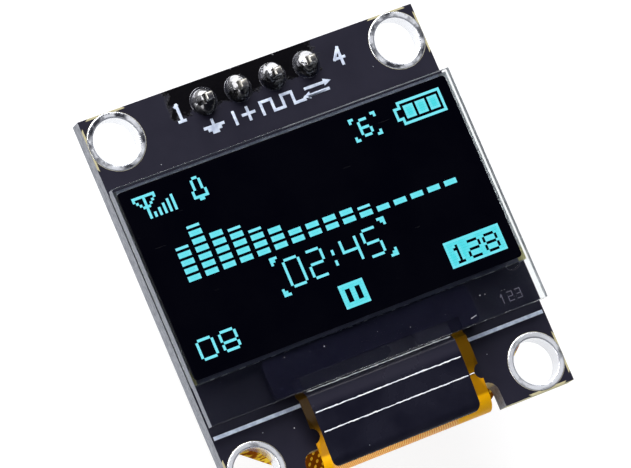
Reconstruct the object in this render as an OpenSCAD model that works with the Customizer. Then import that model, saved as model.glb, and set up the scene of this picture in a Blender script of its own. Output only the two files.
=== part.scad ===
// Small square display module: a glass panel taped to a circuit board, its ribbon
// folded round the board's lower edge and soldered behind, with a four-pin header.
// X runs to the right, Y up the board, Z out of the screen. Millimetres.
// The origin is the middle of the four mounting holes, on the board's rear face.

/* [Board] */
// Width of the board, left to right
board_w = 24.7; // [24:0.1:30]
// Height of the board, header edge to ribbon edge
board_h = 27; // [26:0.1:32]
// Thickness of the board
board_t = 1.2; // [0.8:0.1:1.8]
// Width of the cut-out that the ribbon folds through
notch_w = 14.4; // [13.6:0.1:15.4]
// Depth of the ribbon's cut-out
notch_d = 1.9; // [1.5:0.1:2.3]
// Radius of the cut-out's two inner corners
notch_r = 0.8; // [0.3:0.1:1.2]

/* [Mounting holes] */
// Clear diameter of each mounting hole
hole_d = 3.2; // [2.2:0.1:3.3]
// From a side edge of the board to a hole's centre
hole_inset_x = 1.95; // [1.8:0.05:2.4]
// From the top or bottom edge of the board to a hole's centre
hole_inset_y = 2; // [1.8:0.05:2.3]
// Width of the tinned land around each hole
land_w = 0.33; // [0.2:0.01:0.5]
// Thickness of all plated copper
plating_t = 0.04; // [0.03:0.01:0.08]
// Bare strip left between a land and the edge of the board
edge_strip = 0.12; // [0.05:0.01:0.2]

/* [Display panel] */
// How far the front glass reaches past each side edge of the board
glass_over = 0.1; // [0:0.05:0.3]
// Pixels across the screen
pixel_cols = 128; // [126:1:132]
// Pixels down the screen
pixel_rows = 64; // [64:1:66]
// Unlit border left of the pixels
border_left = 0.79; // [0.5:0.01:1]
// Unlit border right of the pixels
border_right = 0.39; // [0.2:0.01:0.8]
// Unlit border above the pixels
border_top = 0.64; // [0.4:0.01:0.9]
// Unlit border below the pixels
border_bottom = 0.79; // [0.5:0.01:1]
// Glass left uncovered beside the polarizer's left edge
lip_left = 0.12; // [0.05:0.01:0.5]
// Glass left uncovered beside the polarizer's right edge
lip_right = 0.56; // [0.2:0.01:0.9]
// Glass left uncovered above the polarizer
lip_top = 0.4; // [0.2:0.01:0.8]
// Height of the clear ledge below the polarizer
ledge_h = 3.05; // [2.8:0.05:3.4]
// From the board's top edge to the glass
glass_drop = 5.05; // [4.8:0.05:5.4]
// How far the glass sits left of the board's middle line
glass_shift = 0.1; // [0:0.05:0.3]
// Thickness of the front glass
glass_t = 0.65; // [0.5:0.05:0.8]
// Thickness of the polarizer
polarizer_t = 0.15; // [0.1:0.01:0.25]
// Corner radius of the polarizer
polarizer_r = 0.25; // [0.1:0.05:0.5]
// Thickness of the rear cover glass
cover_t = 0.53; // [0.45:0.01:0.7]
// How far the cover glass stands back from the front glass all round
cover_inset = 0.15; // [0.05:0.01:0.4]
// How far the cover glass reaches below the polarizer
cover_gap = 0.2; // [0.1:0.05:0.3]
// Depth of the recess inside the cover glass
recess_d = 0.25; // [0.18:0.01:0.3]
// Width of the glued rim between the two glasses
seal_w = 0.7; // [0.4:0.05:0.8]
// Thickness of the glued rim and of the light-emitting layers
seal_t = 0.02; // [0.01:0.01:0.04]
// Gap between the glued rim and the light-emitting layers
layer_gap = 0.05; // [0.02:0.01:0.1]
// Thickness of the drying sheet in the recess
dryer_t = 0.12; // [0.08:0.01:0.15]
// Clear margin between the drying sheet and the recess wall
dryer_gap = 1.8; // [1:0.1:2.5]
// Thickness of the foam tape behind the panel
tape_t = 0.3; // [0.25:0.01:0.5]
// How far the foam tape stands back from the cover glass
tape_inset = 1.3; // [0.8:0.1:2]

/* [Driver chip] */
// Length of the bare driver chip
chip_l = 10.6; // [9:0.1:11.5]
// Width of the driver chip
chip_w = 0.9; // [0.7:0.05:1]
// From the resin's upper edge down to the driver chip
chip_gap = 0.3; // [0.1:0.05:0.5]
// Thickness of the driver chip
chip_t = 0.28; // [0.2:0.01:0.3]
// Length of the black resin cast over the chip and the ribbon's bond
resin_l = 15.2; // [14:0.1:17]
// Thickness of the resin
resin_t = 0.4; // [0.38:0.01:0.45]
// Corner radius of the resin
resin_r = 0.4; // [0.2:0.05:0.6]
// Gap between the cover glass and the resin, and between the resin and the ledge's end
resin_gap = 0.12; // [0.05:0.01:0.2]

/* [Ribbon] */
// Width of the ribbon where it leaves the glass
flex_w = 12.4; // [12:0.1:12.9]
// Thickness of the ribbon's film
flex_t = 0.1; // [0.07:0.01:0.13]
// Thickness of the black cover layer
coat_t = 0.03; // [0.02:0.01:0.05]
// Bare film left beside the cover layer's left edge
coat_left = 0.6; // [0.4:0.05:0.8]
// Bare film left beside the cover layer's right edge
coat_right = 0.85; // [0.5:0.05:1]
// How far the ribbon's bonded end reaches in under the ledge
bond_d = 0.9; // [0.6:0.05:1]
// How far the ribbon arches forward of the board's front face
arch_h = 1.12; // [1.05:0.01:1.3]
// How much the arch has dropped where the fold begins
arch_drop = 0.3; // [0.2:0.01:0.35]
// Length of the step from the bond up to the arch
step_l = 0.42; // [0.35:0.01:0.6]
// First crease, as a share of the run from the step down to the fold
crease_1 = 0.27; // [0.2:0.01:0.4]
// Second crease, as a share of the same run
crease_2 = 0.61; // [0.5:0.01:0.7]
// From the fold's outermost line in to the board's bottom edge line
fold_inset = 0.05; // [0:0.01:0.2]
// Part of the fold's half turn, in degrees, that the cover layer wraps
coat_wrap = 41; // [30:1:60]
// Depth of the two rounded nicks at the second crease
nick_d = 0.45; // [0.3:0.01:0.5]
// Radius of the rounded nicks
nick_r = 0.5; // [0.5:0.01:0.6]
// Solder joints along the ribbon's rear end
tail_joints = 30; // [24:1:30]
// Spacing of the ribbon's solder joints
tail_pitch = 0.7; // [0.6:0.01:0.7]
// Film left outside the outermost joints
tail_margin = 0.75; // [0.5:0.05:0.8]
// From the board's bottom edge up to the ribbon's rear end
tail_end = 7.7; // [7:0.1:8.2]
// From the fold's outermost line up to the start of the flare
flare_up = 0.29; // [0.2:0.01:0.4]
// From the fold's edge out to where the ribbon starts to flare fully
flare_in = 1.4; // [1.2:0.1:1.6]
// Slope of the narrow part of the flare, in degrees
flare_low_a = 32; // [28:1:33]
// Slope of the wide part of the flare, in degrees
flare_high_a = 39; // [39:1:44]
// Length of each ribbon solder joint on the film
joint_on = 0.7; // [0.5:0.05:1]
// Length of each ribbon solder joint past the film
joint_off = 0.45; // [0.3:0.05:0.8]
// Height of each ribbon solder joint
joint_h = 0.16; // [0.1:0.01:0.25]
// Width of each ribbon solder joint
joint_w = 0.4; // [0.3:0.01:0.5]

/* [Header] */
// Number of header pins
pins = 4; // [3:1:5]
// Spacing of the header pins
pin_pitch = 2.54; // [2:0.01:2.6]
// Side of each square pin
pin_w = 0.64; // [0.5:0.01:0.66]
// How far each pin stands out of the board's front face
pin_front = 1.5; // [1.3:0.1:2]
// Length of each pin behind the plastic base
pin_rear = 6; // [3:0.1:12]
// Length of the taper at a pin's ends
pin_taper = 0.3; // [0.1:0.05:0.4]
// Width that is left at a pin's ends
pin_end_w = 0.4; // [0.25:0.01:0.45]
// From the board's top edge to the row of pins
pin_inset = 1.45; // [1.4:0.05:1.8]
// Depth of the plastic base, across the row of pins
base_w = 2.5; // [2:0.1:2.7]
// Height of the plastic base
base_h = 2.5; // [1.5:0.1:3]
// Corner cut between two cells of the base
base_cut = 0.45; // [0.2:0.05:0.6]
// Inside diameter of the plated pin holes
pin_hole_d = 1; // [0.96:0.01:1.1]
// Diameter of the tinned pads around the pins
pad_d = 1.9; // [1.7:0.05:1.95]
// Height of each solder joint above its pad
solder_h = 1.1; // [0.8:0.05:1.2]

/* [Rear parts] */
// Length of a small chip part, over its metal ends
small_l = 1.6; // [1.2:0.05:1.7]
// Width of a small chip part
small_w = 0.8; // [0.5:0.05:0.9]
// Thickness of a capacitor
capacitor_t = 0.8; // [0.4:0.05:0.9]
// Thickness of a resistor
resistor_t = 0.45; // [0.35:0.01:0.6]
// Length of the metal at each end of a chip part
metal_l = 0.3; // [0.2:0.01:0.4]
// How far the metal ends stand proud of the body
metal_proud = 0.03; // [0.01:0.01:0.05]
// How far a solder fillet reaches past a metal end
fillet_l = 0.35; // [0.2:0.01:0.45]
// Length of the regulator's body
regulator_l = 2.9; // [2.6:0.05:3.1]
// Width of the regulator's body
regulator_w = 1.3; // [1.2:0.05:1.5]
// Height of the regulator's body
regulator_h = 1; // [0.8:0.05:1.1]
// Spacing of the regulator's two near legs
leg_pitch = 1.9; // [1.6:0.05:1.9]
// Width of a regulator leg
leg_w = 0.42; // [0.3:0.01:0.5]
// Thickness of a regulator leg
leg_t = 0.14; // [0.1:0.01:0.18]
// How far a regulator leg reaches from the body
leg_reach = 0.6; // [0.5:0.05:0.8]

/* [Printing] */
// Thickness of the white print
print_t = 0.03; // [0.02:0.01:0.05]
// Width of the white line under the panel
line_w = 0.25; // [0.15:0.01:0.35]
// From the glass down to the white line's middle
line_gap = 0.65; // [0.3:0.05:0.8]
// Gap kept between the print and a tinned land
print_gap = 0.1; // [0.05:0.01:0.15]
// Stroke width of the printed signs
stroke = 0.2; // [0.15:0.01:0.25]
// Height of the printed signs
sign_h = 1; // [0.8:0.05:1.1]
// From the row of pins down to the middle of the signs
sign_drop = 1.75; // [1.65:0.01:1.9]
// Thickness of the lit pixels
lit_t = 0.015; // [0.01:0.001:0.03]

/* [Hidden] */
$fn = 72;
join = 0.01;      // overlap inside one solid, so that its shapes fuse
far = 60;         // longer than anything it cuts

hole_x = board_w / 2 - hole_inset_x;
hole_y = board_h / 2 - hole_inset_y;
land_r = hole_d / 2 + plating_t + land_w;
bore_in_board = hole_d + 2 * plating_t;

// Panel: heights above the board's rear face, then places in the plane
cover_z = board_t + tape_t;
seal_z = cover_z + cover_t;
glass_z = seal_z + seal_t;
polarizer_z = glass_z + glass_t;
screen_z = polarizer_z + polarizer_t;
glass_w = board_w + 2 * glass_over;
polarizer_w = glass_w - lip_left - lip_right;
active_w = polarizer_w - border_left - border_right;
pixel_pitch = active_w / pixel_cols;
active_h = pixel_rows * pixel_pitch;
polarizer_h = border_top + active_h + border_bottom;
glass_h = lip_top + polarizer_h + ledge_h;
glass_top = board_h / 2 - glass_drop;
glass_left = -glass_shift - glass_w / 2;
glass_bottom = glass_top - glass_h;
polarizer_left = glass_left + lip_left;
polarizer_bottom = glass_top - lip_top - polarizer_h;
active_left = polarizer_left + border_left;
active_top = glass_top - lip_top - border_top;
cover_bottom = polarizer_bottom - cover_gap;
cover_w = glass_w - 2 * cover_inset;
cover_h = glass_top - cover_inset - cover_bottom;
resin_top = cover_bottom - resin_gap;
resin_bottom = glass_bottom + resin_gap;
resin_h = resin_top - resin_bottom;
chip_y = resin_top - chip_gap - chip_w;
slot_gap = 0.02;  // clearance between the ribbon and the resin cast round it

// Ribbon: its outer side as a line in the Y-Z plane, from the bond to the tail
step_gap = 0.03;  // the ribbon stays flat this far past the end of the ledge
bond_z = glass_z - coat_t;
arch_z = board_t + arch_h;
fold_top_z = arch_z - arch_drop;
fold_rear_z = -plating_t - flex_t;
fold_r = (fold_top_z - fold_rear_z) / 2;
fold_z = (fold_top_z + fold_rear_z) / 2;
fold_y = -board_h / 2 + fold_inset + fold_r;
step_y = glass_bottom - step_gap;
tail_y = -board_h / 2 + tail_end;
tail_w = (tail_joints - 1) * tail_pitch + 2 * tail_margin;
run_y = step_y - step_l;
crease_y = [for (share = [crease_1, crease_2]) run_y - share * (run_y - fold_y)];
crease_z = [arch_z + 0.02, arch_z - arch_drop / 3];
step_steps = 8;   // short straights in the step
fold_steps = 28;  // short straights in the half turn
step_line = [for (i = [0 : step_steps])
    [step_y - step_l * i / step_steps,
     bond_z + (arch_z - bond_z) * (1 - cos(180 * i / step_steps)) / 2]];
fold_line = [for (i = [0 : fold_steps]) let (a = 180 * i / fold_steps)
    [fold_y - fold_r * sin(a), fold_z + fold_r * cos(a)]];
ribbon_line = concat([[glass_bottom + bond_d, bond_z]], step_line,
    [for (i = [0 : 1]) [crease_y[i], crease_z[i]]], fold_line, [[tail_y, fold_rear_z]]);
cover_steps = ceil(fold_steps * coat_wrap / 180);
cover_line = concat([[glass_bottom + bond_d, bond_z]], step_line,
    [for (i = [0 : 1]) [crease_y[i], crease_z[i]]],
    [for (i = [0 : cover_steps]) fold_line[i]]);
coat_w = flex_w - coat_left - coat_right;
coat_x = (coat_left - coat_right) / 2 - glass_shift;

// Unit vector across a line of points at point i, to the inner side of the fold
function along(p, i) = p[min(i + 1, len(p) - 1)] - p[max(i - 1, 0)];
function across(p, i) = let (d = along(p, i)) [-d[1], d[0]] / norm(d);
function shifted(p, t) = [for (i = [0 : len(p) - 1]) p[i] + t * across(p, i)];
function reversed(p) = [for (i = [len(p) - 1 : -1 : 0]) p[i]];
function band(p, t0, t1) = concat(shifted(p, t0), reversed(shifted(p, t1)));

function joint_x(i) = -glass_shift + (i - (tail_joints - 1) / 2) * tail_pitch;

// Header
pin_y = board_h / 2 - pin_inset;
base_top = -plating_t;
solder_r = pad_d / 2 - 0.03;
solder_steps = 10;
function pin_x(i) = (i - (pins - 1) / 2) * pin_pitch;

// Rear parts: [x, y, degrees]
capacitor_at = [[-8.8, 5.2, 90], [-8.8, 1.6, 90], [2.6, 5.4, 0], [8.9, 5.2, 90],
    [8.9, -1.6, 90], [-3, -3, 0]];
resistor_at = [[-6.2, 5.4, 0], [-3, 5.4, 0], [-6.2, 3.4, 0], [-3, 3.4, 0],
    [-6.2, 1.4, 0], [-3, 1.4, 0], [-6.2, -3, 0], [2.6, -3, 0]];
regulator_at = [5.2, 1.6];
part_z = -plating_t;
leg_foot = 0.35;  // length of leg that lies on the pad

// A plate with its lower left corner at [x, y, z]
module plate(x, y, z, w, h, t) {
    translate([x, y, z]) cube([w, h, t]);
}

// A cylinder standing on z
module post(x, y, z, d, h) {
    translate([x, y, z]) cylinder(d = d, h = h);
}

// One copy at each mounting hole, and one at each pin
module at_hole(i) {
    translate([(i % 2 == 1 ? -1 : 1) * hole_x, (i <= 2 ? 1 : -1) * hole_y, 0]) children();
}

module at_pin(i) {
    translate([pin_x(i - 1), pin_y, 0]) children();
}

// ---- Circuit board ----

module notch_outline() {
    low = -board_h / 2 - 1;
    inner = -board_h / 2 + notch_d;
    translate([-notch_w / 2, low]) square([notch_w, inner - notch_r - low]);
    translate([-notch_w / 2 + notch_r, low]) square([notch_w - 2 * notch_r, inner - low]);
    for (s = [-1, 1]) translate([s * (notch_w / 2 - notch_r), inner - notch_r])
        circle(r = notch_r);
}

module board() {
    color([0.13, 0.13, 0.19]) difference() {
        plate(-board_w / 2, -board_h / 2, 0, board_w, board_h, board_t);
        translate([0, 0, -1]) linear_extrude(board_t + 2) notch_outline();
        for (i = [1 : 4]) at_hole(i) post(0, 0, -1, bore_in_board, board_t + 2);
        for (i = [1 : pins]) at_pin(i) post(0, 0, -1, pin_hole_d + 2 * plating_t, board_t + 2);
    }
}

module hole_lining(i) {
    color([0.86, 0.87, 0.9]) difference() {
        intersection() {
            at_hole(i) union() {
                post(0, 0, -plating_t, bore_in_board, board_t + 2 * plating_t);
                post(0, 0, -plating_t, 2 * land_r, plating_t);
                post(0, 0, board_t, 2 * land_r, plating_t);
            }
            plate(-board_w / 2 + edge_strip, -board_h / 2 + edge_strip, -1,
                board_w - 2 * edge_strip, board_h - 2 * edge_strip, board_t + 2);
        }
        at_hole(i) post(0, 0, -1, hole_d, board_t + 2);
    }
}

// Printed signs, each inside a box sign_h high: earth, plus, square wave, double arrow
module bar(x, y, w, h) {
    translate([x - w / 2, y - h / 2]) square([w, h]);
}

module earth_sign() {
    bar(0, sign_h / 4, stroke, sign_h / 2);
    for (i = [0 : 2]) bar(0, -i * (sign_h - stroke) / 4, sign_h * (1.5 - 0.5 * i), stroke);
}

module plus_sign() {
    bar(0, 0, sign_h, stroke);
    bar(0, 0, stroke, sign_h);
    for (s = [-1, 1]) bar(s * sign_h, 0, stroke, sign_h);
}

module wave_sign() {
    step = sign_h / 2;
    for (i = [-1 : 1]) bar(i * step * 1.5, 0, stroke, sign_h);
    for (i = [-2 : 1]) bar((i + 0.5) * step * 1.5, (i % 2 == 0 ? 1 : -1) * (sign_h - stroke) / 2,
        step * 1.5 + stroke, stroke);
}

module arrows_sign() {
    for (s = [-1, 1]) {
        bar(0, s * sign_h / 4, 1.7 * sign_h, stroke);
        polygon([[s * sign_h * 1.15, s * sign_h / 4], [s * sign_h * 0.6, s * sign_h / 4 + sign_h / 4],
            [s * sign_h * 0.6, s * sign_h / 4 - sign_h / 4]]);
    }
}

module front_print() {
    color([0.75, 0.8, 0.88]) translate([0, 0, board_t]) linear_extrude(print_t) {
        difference() {
            bar(0, glass_bottom - line_gap, board_w - 2 * edge_strip, line_w);
            for (i = [1 : 4]) at_hole(i) circle(r = land_r + print_gap);
        }
        for (i = [1 : pins]) translate([pin_x(i - 1), pin_y - sign_drop]) {
            if (i == 1) earth_sign();
            else if (i == 2) plus_sign();
            else if (i == 3) wave_sign();
            else arrows_sign();
        }
    }
}

module part_frame(w, h) {
    difference() {
        bar(0, 0, w + 2 * stroke, h + 2 * stroke);
        bar(0, 0, w, h);
        bar(0, 0, w / 2, h + 4 * stroke);
    }
}

module rear_print() {
    frame_w = small_l + 2 * fillet_l + 2 * stroke;
    frame_h = small_w + 2 * stroke;
    color([0.75, 0.8, 0.88]) translate([0, 0, -print_t]) linear_extrude(print_t) {
        for (p = concat(capacitor_at, resistor_at)) translate([p[0], p[1]]) rotate(p[2])
            part_frame(frame_w, frame_h);
        translate(regulator_at) for (s = [-1, 1]) bar(s * (regulator_l / 2 + stroke), 0,
            stroke, regulator_w);
        bar(0, pin_y - base_w / 2 - 2 * stroke, pins * pin_pitch, stroke);
    }
}

// ---- Display panel ----

module foam_tape() {
    color([0.1, 0.1, 0.11]) plate(glass_left + cover_inset + tape_inset, cover_bottom + tape_inset,
        board_t, cover_w - 2 * tape_inset, cover_h - 2 * tape_inset, tape_t);
}

module cover_glass() {
    color([0.35, 0.37, 0.38]) difference() {
        plate(glass_left + cover_inset, cover_bottom, cover_z, cover_w, cover_h, cover_t);
        plate(glass_left + cover_inset + seal_w, cover_bottom + seal_w, seal_z - recess_d,
            cover_w - 2 * seal_w, cover_h - 2 * seal_w, recess_d + 1);
    }
}

module drying_sheet() {
    inset = seal_w + dryer_gap;
    color([0.8, 0.8, 0.76]) plate(glass_left + cover_inset + inset, cover_bottom + inset,
        seal_z - recess_d, cover_w - 2 * inset, cover_h - 2 * inset, dryer_t);
}

module seal_rim() {
    color([0.3, 0.3, 0.25]) difference() {
        plate(glass_left + cover_inset, cover_bottom, seal_z, cover_w, cover_h, seal_t);
        plate(glass_left + cover_inset + seal_w, cover_bottom + seal_w, seal_z - 1,
            cover_w - 2 * seal_w, cover_h - 2 * seal_w, seal_t + 2);
    }
}

// The layers lie behind the pixels, and stop short of the glued rim
module light_layers() {
    rim = cover_inset + seal_w + layer_gap;
    left = max(active_left, glass_left + rim);
    right = min(active_left + active_w, glass_left + glass_w - rim);
    color([0.2, 0.22, 0.3]) plate(left, active_top - active_h, seal_z,
        right - left, active_h, seal_t);
}

module front_glass() {
    color([0.55, 0.6, 0.62, 0.6])
        plate(glass_left, glass_bottom, glass_z, glass_w, glass_h, glass_t);
}

// A rectangle with rounded corners, its lower left corner at [x, y]
module rounded(x, y, w, h, r) {
    for (s = [0, 1]) {
        translate([x + s * r, y + (1 - s) * r]) square([w - 2 * s * r, h - 2 * (1 - s) * r]);
        for (t = [0, 1]) translate([x + r + s * (w - 2 * r), y + r + t * (h - 2 * r)]) circle(r = r);
    }
}

module polarizer() {
    color([0.02, 0.02, 0.04]) translate([0, 0, polarizer_z]) linear_extrude(polarizer_t)
        rounded(polarizer_left, polarizer_bottom, polarizer_w, polarizer_h, polarizer_r);
}

// A lit block that starts at pixel (col, row) from the screen's top left corner
module lit(col, row, cols, rows) {
    translate([col * pixel_pitch, -(row + rows) * pixel_pitch])
        square([cols * pixel_pitch, rows * pixel_pitch]);
}

module battery_sign() {
    difference() {
        lit(108, 0, 18, 9);
        lit(109, 1, 16, 7);
        lit(107, 3, 3, 3);
    }
    difference() {
        lit(106, 2, 2.5, 5);
        lit(107, 3, 3, 3);
    }
    for (i = [0 : 2]) lit(110 + 5 * i, 2, 4, 5);
}

module signal_sign() {
    lit(0, 0, 9, 1);
    lit(4, 0, 1, 9);
    for (i = [0 : 4]) lit(6 + 2 * i, 7 - i, 1, 2 + i);
}

module level_bars() {
    full = [4, 6, 5, 4, 3, 3, 2, 2, 2, 2, 1, 1, 1, 1, 1, 1];
    caps = [1, 1, 0, 1, 1, 0, 0, 0, 0, 0, 1, 0, 0, 0, 0, 0];
    for (i = [0 : len(full) - 1]) {
        for (k = [0 : full[i] - 1]) lit(8 + 7 * i, 33 - 3 * k, 5, 2);
        if (caps[i] == 1) lit(8 + 7 * i, 34 - 3 * full[i], 5, 1);
    }
}

module pause_sign() {
    difference() {
        lit(59, 55, 10, 9);
        for (i = [0, 1]) lit(61 + 4 * i, 57, 2, 5);
    }
}

module lit_pixels() {
    color([0.35, 0.95, 0.95]) translate([active_left, active_top, screen_z])
        linear_extrude(lit_t) {
            signal_sign();
            battery_sign();
            level_bars();
            pause_sign();
            lit(103, 54, 23, 10);
        }
}

module driver_chip() {
    color([0.25, 0.26, 0.28]) plate(-glass_shift - chip_l / 2, chip_y, glass_z - chip_t,
        chip_l, chip_w, chip_t);
}

module bond_resin() {
    slot_w = flex_w + 2 * slot_gap;
    slot_h = coat_t + flex_t + slot_gap;
    color([0.09, 0.09, 0.1]) difference() {
        translate([-glass_shift, 0, glass_z - resin_t]) linear_extrude(resin_t)
            rounded(-resin_l / 2, resin_bottom, resin_l, resin_h, resin_r);
        plate(-glass_shift - chip_l / 2, chip_y, glass_z - chip_t, chip_l, chip_w, chip_t + 1);
        plate(-glass_shift - slot_w / 2, glass_bottom - 1, glass_z - slot_h,
            slot_w, 1 + bond_d + slot_gap, slot_h + 1);
    }
}

// ---- Ribbon ----

// A line's band in the Y-Z plane, drawn out along X
module drawn_out(points, x, w) {
    translate([x - w / 2, 0, 0]) rotate([90, 0, 90]) linear_extrude(w) polygon(points);
}

// Front outline, with a rounded nick on each side at the second crease
module front_outline() {
    difference() {
        translate([-flex_w / 2, -far]) square([flex_w, 2 * far]);
        for (s = [-1, 1]) translate([s * (flex_w / 2 + nick_r - nick_d), crease_y[1]])
            circle(r = nick_r);
    }
}

// Rear outline, flaring in two straights to the full width of the tail
module rear_outline() {
    half = flex_w / 2;
    low = -board_h / 2 + fold_inset + flare_up;
    mid = [half + flare_in, low + flare_in * tan(flare_low_a)];
    top = mid[1] + (tail_w / 2 - mid[0]) * tan(flare_high_a);
    side = [[half, low - far], [half, low], mid, [tail_w / 2, top], [tail_w / 2, far]];
    polygon(concat(side, reversed([for (p = side) [-p[0], p[1]]])));
}

module ribbon() {
    color([0.75, 0.52, 0.1]) translate([-glass_shift, 0, 0]) {
        intersection() {
            drawn_out(band(ribbon_line, 0, flex_t), 0, tail_w + 2);
            translate([0, 0, fold_z]) linear_extrude(far) front_outline();
        }
        intersection() {
            drawn_out(band(ribbon_line, 0, flex_t), 0, tail_w + 2);
            translate([0, 0, fold_z - far]) linear_extrude(far + join) rear_outline();
        }
    }
}

module ribbon_cover() {
    color([0.07, 0.08, 0.12]) drawn_out(band(cover_line, -coat_t, 0), coat_x, coat_w);
}

// Side view of one joint: over the film's end and down onto the board
module joint_side() {
    y = tail_y;
    z = fold_rear_z;
    polygon([[y - joint_on, z], [y - joint_on * 0.6, z - joint_h], [y + joint_off * 0.2, z - joint_h],
        [y + joint_off, -plating_t], [y, -plating_t], [y, z]]);
}

module ribbon_joints() {
    color([0.8, 0.8, 0.82]) for (i = [0 : tail_joints - 1])
        translate([joint_x(i) - joint_w / 2, 0, 0]) rotate([90, 0, 90])
            linear_extrude(joint_w) joint_side();
}

// ---- Header ----

module base_cell() {
    a = pin_pitch / 2;
    b = base_w / 2;
    c = base_cut;
    polygon([[a, b - c], [a - c, b], [c - a, b], [-a, b - c],
        [-a, c - b], [c - a, -b], [a - c, -b], [a, c - b]]);
}

module header_base() {
    color([0.08, 0.08, 0.09]) difference() {
        translate([0, 0, base_top - base_h]) for (i = [1 : pins]) at_pin(i)
            linear_extrude(base_h) base_cell();
        for (i = [1 : pins]) at_pin(i)
            plate(-pin_w / 2, -pin_w / 2, base_top - base_h - 1, pin_w, pin_w, base_h + 2);
    }
}

module header_pads() {
    color([0.8, 0.8, 0.82]) for (i = [1 : pins]) at_pin(i) difference() {
        union() {
            post(0, 0, -plating_t, pin_hole_d + 2 * plating_t, board_t + 2 * plating_t);
            for (z = [-plating_t, board_t]) post(0, 0, z, pad_d, plating_t);
        }
        post(0, 0, -1, pin_hole_d, board_t + 2);
    }
}

module pin_end(z, up) {
    translate([0, 0, z]) mirror([0, 0, up ? 0 : 1])
        linear_extrude(pin_taper, scale = pin_end_w / pin_w) square(pin_w, center = true);
}

module header_pin(i) {
    low = base_top - base_h - pin_rear + pin_taper;
    high = board_t + pin_front - pin_taper;
    color([0.83, 0.8, 0.7]) at_pin(i) {
        plate(-pin_w / 2, -pin_w / 2, low, pin_w, pin_w, high - low);
        pin_end(high, true);
        pin_end(low, false);
    }
}

// Solder domed over the pad, and filling the hole around the pin
module pin_solder(i) {
    z = board_t + plating_t;
    dome = [for (k = [0 : solder_steps]) let (a = 90 * k / solder_steps)
        [solder_r * pow(cos(a), 0.8), z + solder_h * sin(a)]];
    color([0.7, 0.71, 0.73]) at_pin(i) difference() {
        rotate_extrude() polygon(concat([[0, 0], [pin_hole_d / 2, 0], [pin_hole_d / 2, z]], dome));
        plate(-pin_w / 2, -pin_w / 2, -1, pin_w, pin_w, board_t + 4);
    }
}

// ---- Rear parts ----

module at_parts(list) {
    for (p = list) translate([p[0], p[1], part_z]) rotate(p[2]) children();
}

// A block hanging from the pads' face, centred on x
module hung(x, w, h, top, t) {
    translate([x - w / 2, -h / 2, -top - t]) cube([w, h, t]);
}

module chip_ends(t) {
    for (s = [-1, 1]) hung(s * (small_l - metal_l) / 2, metal_l, small_w, 0, t);
}

module chip_body(t) {
    hung(0, small_l - 2 * metal_l, small_w - 2 * metal_proud, metal_proud, t - 2 * metal_proud);
}

module chip_fillets(t) {
    for (s = [0, 1]) mirror([s, 0, 0]) translate([small_l / 2, small_w / 2, 0])
        rotate([90, 0, 0]) linear_extrude(small_w)
            polygon([[0, 0], [fillet_l, 0], [fillet_l / 3, -t / 4], [0, -t * 0.7]]);
}

module capacitors() {
    color([0.62, 0.5, 0.36]) at_parts(capacitor_at) chip_body(capacitor_t);
}

module resistors() {
    color([0.12, 0.12, 0.13]) at_parts(resistor_at) chip_body(resistor_t);
}

module part_ends() {
    color([0.82, 0.82, 0.84]) {
        at_parts(capacitor_at) chip_ends(capacitor_t);
        at_parts(resistor_at) chip_ends(resistor_t);
    }
}

module part_solder() {
    color([0.72, 0.73, 0.75]) {
        at_parts(capacitor_at) chip_fillets(capacitor_t);
        at_parts(resistor_at) chip_fillets(resistor_t);
    }
}

// Places of the regulator's legs: two on the near side, one on the far side
leg_at = [[-leg_pitch / 2, -1], [leg_pitch / 2, -1], [0, 1]];

module leg_side() {
    out = regulator_w / 2 + leg_reach;
    mid = regulator_h / 2;
    polygon([[regulator_w / 2, -mid], [out - leg_foot, -mid], [out - leg_foot, -leg_t],
        [out, -leg_t], [out, 0], [out - leg_foot - leg_t, 0],
        [out - leg_foot - leg_t, leg_t - mid], [regulator_w / 2, leg_t - mid]]);
}

module regulator_legs() {
    color([0.8, 0.8, 0.82]) translate([regulator_at[0], regulator_at[1], part_z])
        for (p = leg_at) translate([p[0] - leg_w / 2, 0, 0]) mirror([0, p[1] < 0 ? 1 : 0, 0])
            rotate([90, 0, 90]) linear_extrude(leg_w) leg_side();
}

module regulator() {
    color([0.1, 0.1, 0.11]) translate([regulator_at[0], regulator_at[1], part_z])
        hung(0, regulator_l, regulator_w, 0.05, regulator_h);
}

module part_pads() {
    pad_l = metal_l + fillet_l;
    foot = leg_foot + leg_t + fillet_l / 2;
    color([0.8, 0.78, 0.72]) translate([0, 0, -plating_t]) {
        for (p = concat(capacitor_at, resistor_at)) translate([p[0], p[1], 0]) rotate(p[2])
            for (s = [-1, 1]) plate(s * (small_l / 2 + (fillet_l - metal_l) / 2) - pad_l / 2,
                -small_w / 2, 0, pad_l, small_w, plating_t);
        for (i = [0 : tail_joints - 1])
            plate(joint_x(i) - joint_w / 2, tail_y - joint_on, 0, joint_w, joint_on + joint_off, plating_t);
        for (p = leg_at) translate([regulator_at[0] + p[0], regulator_at[1], 0])
            plate(-leg_w, p[1] * (regulator_w / 2 + leg_reach - foot / 2 + fillet_l / 4) - foot / 2, 0,
                2 * leg_w, foot, plating_t);
    }
}

board();
hole_lining(1);  // hole_lining_1
hole_lining(2);  // hole_lining_2
hole_lining(3);  // hole_lining_3
hole_lining(4);  // hole_lining_4
front_print();
rear_print();
foam_tape();
cover_glass();
drying_sheet();
seal_rim();
light_layers();
front_glass();
polarizer();
lit_pixels();
driver_chip();
bond_resin();
ribbon();
ribbon_cover();
ribbon_joints();
header_base();
header_pads();
header_pin(1);  // header_pin_1
header_pin(2);  // header_pin_2
header_pin(3);  // header_pin_3
header_pin(4);  // header_pin_4
pin_solder(1);  // pin_solder_1
pin_solder(2);  // pin_solder_2
pin_solder(3);  // pin_solder_3
pin_solder(4);  // pin_solder_4
part_pads();
part_solder();
part_ends();
capacitors();
resistors();
regulator();
regulator_legs();
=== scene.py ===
import math

import bpy
from mathutils import Matrix, Vector


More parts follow.
